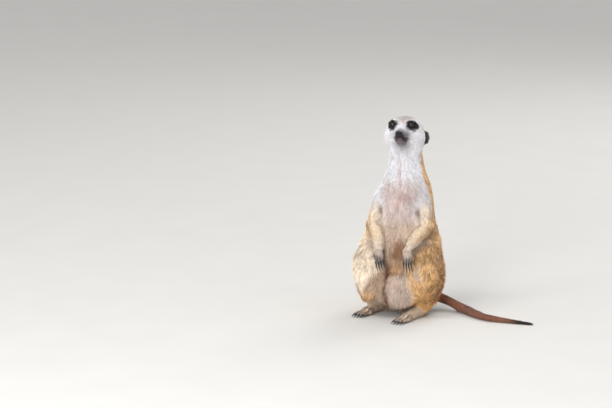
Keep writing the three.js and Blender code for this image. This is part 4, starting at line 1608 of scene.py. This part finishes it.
@dataclass
class Eyes:
    """Two deep brown eyes, nearly black, with a clear bulge over a wide pupil."""

    iris: float = 3.5
    pupil_width: float = 2.4
    pupil_height: float = 1.6
    bulge: float = 0.40
    ball: Colour = (14, 11, 12)
    brown: Colour = (24, 16, 13)
    pupil: Colour = (7, 6, 7)
    ring: Colour = (12, 9, 9)

    def build(self) -> list[bpy.types.Object]:
        """Makes both eyes."""
        return [self.eye(name, side) for name, side in SIDES.items()]

    def eye(self, name: str, side: float) -> bpy.types.Object:
        """Makes one eye.

        Args:
            name: left or right.
            side: 1 for the left, -1 for the right.

        Returns:
            The eyeball.
        """
        piece = sphere(f"eyeball_{name}", 64, 48, SOCKET.radius * MM)
        outer, _, out = (v * np.array([side, 1.0, 1.0]) for v in SOCKET.axes())
        outer = outer * side
        points = places(piece.data)
        angle = np.degrees(np.arccos(np.clip(points[:, 2] / SOCKET.radius, -1, 1)))
        reach = SOCKET.radius * 0.985 + self.bulge * smooth(75, 10, angle)
        ball = unit(points)
        arc = SOCKET.radius * np.radians(angle)
        flat = unit(ball[:, :2] + 1e-9)
        wide = np.sqrt((arc * flat[:, 0] / self.pupil_width) ** 2
                       + (arc * flat[:, 1] / self.pupil_height) ** 2)
        spoke = np.degrees(np.arctan2(flat[:, 1], flat[:, 0])) / 9
        rays = hash_noise(np.column_stack([spoke, arc, arc]), 1.0, 21)
        brown = hue(*self.brown)[None] * (0.6 + 0.9 * rays)[:, None]
        inside = smooth(self.iris + 0.25, self.iris - 0.15, arc)[:, None]
        colours = plain(len(points), self.ball) * (1 - inside) + brown * inside
        colours = laid(colours, (self.pupil, smooth(1.08, 0.9, wide)),
                       (self.ring, 0.85 * bump(self.iris, 0.35, arc)))
        turned = np.column_stack([outer, np.cross(out, outer), out])
        points = HEAD.outward((ball * reach[:, None]) @ turned.T + SOCKET.middle(side))
        return shaped(piece, points, colours, Finishes.EYE)


@dataclass
class Nose:
    """The leather of the nose, with two comma nostrils and a groove between them."""

    half: Place = (4.1, 3.1, 2.9)
    leather: Colour = (34, 30, 34)
    # painted shade inside the nostril pits
    nostril_shade: Colour = (6, 5, 6)

    def build(self) -> bpy.types.Object:
        """Makes the nose leather."""
        piece = sphere("nose_leather", 96, 64, 1.0)
        ball = places(piece.data) * MM
        x, y, z = ball.T
        half = np.array(self.half)
        points = ball * half
        points[:, 0] *= 1.0 + 0.10 * smooth(-0.2, 0.7, z) - 0.16 * smooth(0.0, -0.9, z)
        points[:, 1] *= 1.0 - 0.10 * smooth(0.3, 1.0, z)
        sink = np.zeros(len(points))
        colours = plain(len(points), self.leather)
        for side in SIDES.values():
            pit = np.hypot((x * side - 0.47) / 0.25, (z + 0.12) / 0.27)
            slit = np.hypot((x * side - 0.70) / 0.24, (z + 0.22 + 0.25 * (x * side - 0.7)) / 0.10)
            sink += 1.9 * smooth(1.25, 0.6, pit) + 1.0 * smooth(1.3, 0.6, slit)
            sink -= 0.38 * bump(1.55, 0.30, pit)
            # painted shade: the nostril pits near black
            colours = laid(colours, (self.nostril_shade, (y < 0) * smooth(1.3, 0.9, np.minimum(pit, slit))))
        sink = np.where(y < 0, sink, 0.0)
        sink += 0.42 * bump(0.0, 0.07, x) * (y < 0) * smooth(0.35, 0.0, z)
        points = points - unit(ball / half) * sink[:, None]
        return shaped(piece, HEAD.outward(points + np.array(HEAD.nose)), colours, Finishes.NOSE)


@dataclass
class Claws:
    """Smooth horn claws in place of the plain ones, one piece for each paw."""

    base: Colour = (46, 46, 52)
    tip: Colour = (70, 68, 72)

    def build(self, nodes: dict[str, bpy.types.Object]) -> list[bpy.types.Object]:
        """Makes the claws of all four paws.

        Args:
            nodes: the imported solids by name.

        Returns:
            One piece for each paw.
        """
        made = []
        for kind in ("fore", "hind"):
            for side in SIDES:
                names = [f"{kind}_claw_{side}_{number}" for number in range(1, 5)]
                piece = join([self.claw(nodes[n]) for n in names], f"claws_{kind}_{side}")
                Finishes.CLAW.dress(piece)
                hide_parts(*names)
                made.append(piece)
        return made

    def claw(self, node: bpy.types.Object) -> bpy.types.Object:
        """A smoother copy of one claw, paler to its tip.

        Args:
            node: the plain claw.

        Returns:
            The smoother copy.
        """
        piece = placed(f"{node.name}_horn", node.data.copy())
        choose(piece)
        bpy.ops.object.mode_set(mode="EDIT")
        bpy.ops.mesh.select_all(action="SELECT")
        bpy.ops.mesh.remove_doubles(threshold=1e-5)
        bpy.ops.mesh.normals_make_consistent(inside=False)
        bpy.ops.object.mode_set(mode="OBJECT")
        finish_modifier(piece, "SUBSURF", levels=2, render_levels=2)
        points = places(piece.data)
        low = points[:, 2] - points[:, 2].min()
        along = 1 - low / max(low.max(), 0.1)
        paint(piece.data, laid(plain(len(points), self.base), (self.tip, smooth(0.45, 1.0, along))))
        bpy.ops.object.shade_smooth()
        return piece


@dataclass
class Whiskers:
    """Fine whiskers from the sides of the muzzle and over the eyes."""

    sides: int = 5
    steps: int = 9
    radius: float = 0.075
    droop: float = 0.16
    colour: Colour = (150, 144, 142)
    rng: np.random.Generator = field(default_factory=lambda: np.random.default_rng(SEED + 1))

    def build(self) -> bpy.types.Object:
        """Makes all the whiskers as one mesh."""
        work = bmesh.new()
        for side in SIDES.values():
            for row in range(3):
                for column in range(4):
                    root = np.array([side * (5.6 + 0.95 * column), -33.5 + 2.5 * column, -3.6 - 1.7 * row])
                    aim = np.array([side * (0.85 + 0.1 * row), -0.10 + 0.28 * column, 0.10 - 0.22 * row])
                    self.whisker(work, root, aim, self.rng.uniform(9, 15) + 1.2 * column)
            for number in range(2):
                root = np.array([side * (9.0 + 2.2 * number), -22.0 + number, 14.0 - 0.4 * number])
                self.whisker(work, root, np.array([side * (0.35 + 0.2 * number), 0.1, 0.9]),
                             self.rng.uniform(6, 9))
        mesh = bpy.data.meshes.new("whiskers")
        work.to_mesh(mesh)
        work.free()
        paint(mesh, plain(len(mesh.vertices), self.colour))
        piece = placed("whiskers", mesh)
        Finishes.WHISKER.dress(piece)
        return piece

    def whisker(self, work: bmesh.types.BMesh, root: Array, aim: Array, length: float) -> None:
        """Adds one tapered, drooping whisker.

        Args:
            work: the mesh that is being built.
            root: where it grows, in the face's axes.
            aim: the way it sets out.
            length: its length in millimetres.
        """
        aim = unit(aim + self.rng.normal(0, 0.06, 3))
        rings = []
        for step in range(self.steps):
            t = step / (self.steps - 1)
            middle = root + aim * length * t + np.array([0.0, 0.0, -self.droop * length]) * t * t
            radius = self.radius * (1 - 0.8 * t)
            side = unit(np.cross(aim, [0.0, 0.0, 1.0]))
            up = np.cross(side, aim)
            ring = []
            for k in range(self.sides):
                angle = 2 * math.pi * k / self.sides
                place = middle + radius * (side * math.cos(angle) + up * math.sin(angle))
                ring.append(work.verts.new(HEAD.outward(place[None])[0] * MM))
            rings.append(ring)
        for low, high in zip(rings[:-1], rings[1:]):
            for k in range(self.sides):
                j = (k + 1) % self.sides
                work.faces.new((low[k], low[j], high[j], high[k]))
        work.faces.new(rings[0][::-1])
        work.faces.new(rings[-1])


# ---------------------------------------------------------------- the studio

@dataclass(frozen=True)
class Lamp:
    """One soft round lamp that faces the animal: place and size in metres, power in watts."""

    name: str
    place: Place
    size: float
    power: float
    tint: Place

    def build(self, middle: Vector) -> None:
        """Adds the lamp and turns it to the animal's middle.

        Args:
            middle: the animal's middle, in metres.
        """
        way = middle - Vector(self.place)
        bpy.ops.object.light_add(type="AREA", location=self.place,
                                 rotation=way.to_track_quat("-Z", "Y").to_euler())
        lamp = bpy.context.object
        lamp.name = self.name
        lamp.data.shape = "DISK"
        lamp.data.size = self.size
        lamp.data.energy = self.power
        lamp.data.color = self.tint


LAMPS = (
    Lamp("key", (-0.8, -1.5, 2.0), 1.1, 26.0, (1.0, 0.985, 0.965)),
    Lamp("fill", (1.9, -1.1, 1.1), 1.6, 5.0, (0.96, 0.98, 1.0)),
    Lamp("rim", (0.6, 1.9, 1.8), 1.4, 20.0, (1.0, 0.99, 0.97)),
    Lamp("catch", (-0.05, -1.9, 0.75), 0.6, 21.0, (0.97, 0.99, 1.0)),
)


@dataclass
class Studio:
    """Camera, floor, lights and the pale surround."""

    middle: Place = (-2.0, -14.0, 123.0)
    distance: float = 2800.0
    azimuth: float = 15.0
    height: float = 10.0
    aim_turn: float = 17.42
    aim_dip: float = 9.76
    lens: float = 135.0
    sensor: float = 36.0
    floor_size: float = 40.0
    surround: float = 0.75

    def camera(self) -> None:
        """Places the camera with the animal right of the middle."""
        across, up = math.radians(self.azimuth), math.radians(self.height)
        offset = Vector((math.sin(across) * math.cos(up), -math.cos(across) * math.cos(up), math.sin(up)))
        bpy.ops.object.camera_add(location=(Vector(self.middle) + offset * self.distance) * MM,
                                  rotation=(math.radians(90 - self.aim_dip), 0.0,
                                            math.radians(self.aim_turn)))
        camera = bpy.context.object
        camera.name = "camera"
        camera.data.lens = self.lens
        camera.data.sensor_width = self.sensor
        camera.data.clip_end = 60.0
        camera.data.clip_start = 0.05
        bpy.context.scene.camera = camera

    def build(self) -> None:
        """Sets the whole studio."""
        self.camera()
        deselect()
        bpy.ops.mesh.primitive_grid_add(x_subdivisions=4, y_subdivisions=4, size=self.floor_size)
        floor = bpy.context.object
        floor.name = "floor"
        Finishes.FLOOR.dress(floor)
        for lamp in LAMPS:
            lamp.build(Vector(self.middle) * MM)
        world = bpy.data.worlds.new("studio")
        world.use_nodes = True
        backdrop = world.node_tree.nodes["Background"].inputs
        backdrop["Color"].default_value = (1.0, 1.0, 1.0, 1.0)
        backdrop["Strength"].default_value = self.surround
        bpy.context.scene.world = world
        bpy.context.scene.view_settings.view_transform = "Standard"


# ---------------------------------------------------------------- all together


def carry(piece: bpy.types.Object) -> None:
    """Makes a piece ride on the body."""
    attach(piece, "root")


def main() -> None:
    """Builds the classes in order."""
    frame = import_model()
    nodes = frame["nodes"]
    Studio().build()
    skin, hide = Skin().build(nodes)
    carry(skin)
    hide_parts(*FLESH)
    LOG.info("skin: %d triangles", len(hide.faces))
    for piece in Coat(hide).build():
        carry(piece)
    for piece, side in zip(Eyes().build(), SIDES):
        carry(piece)
        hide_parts(f"eye_{side}")
    nose = Nose().build()
    carry(nose)
    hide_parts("nose")
    for piece in Claws().build(nodes):
        carry(piece)
    carry(Whiskers().build())
    deselect()


if __name__ == "__main__":
    logging.basicConfig(level=logging.INFO, format="%(name)s %(message)s")
    main()
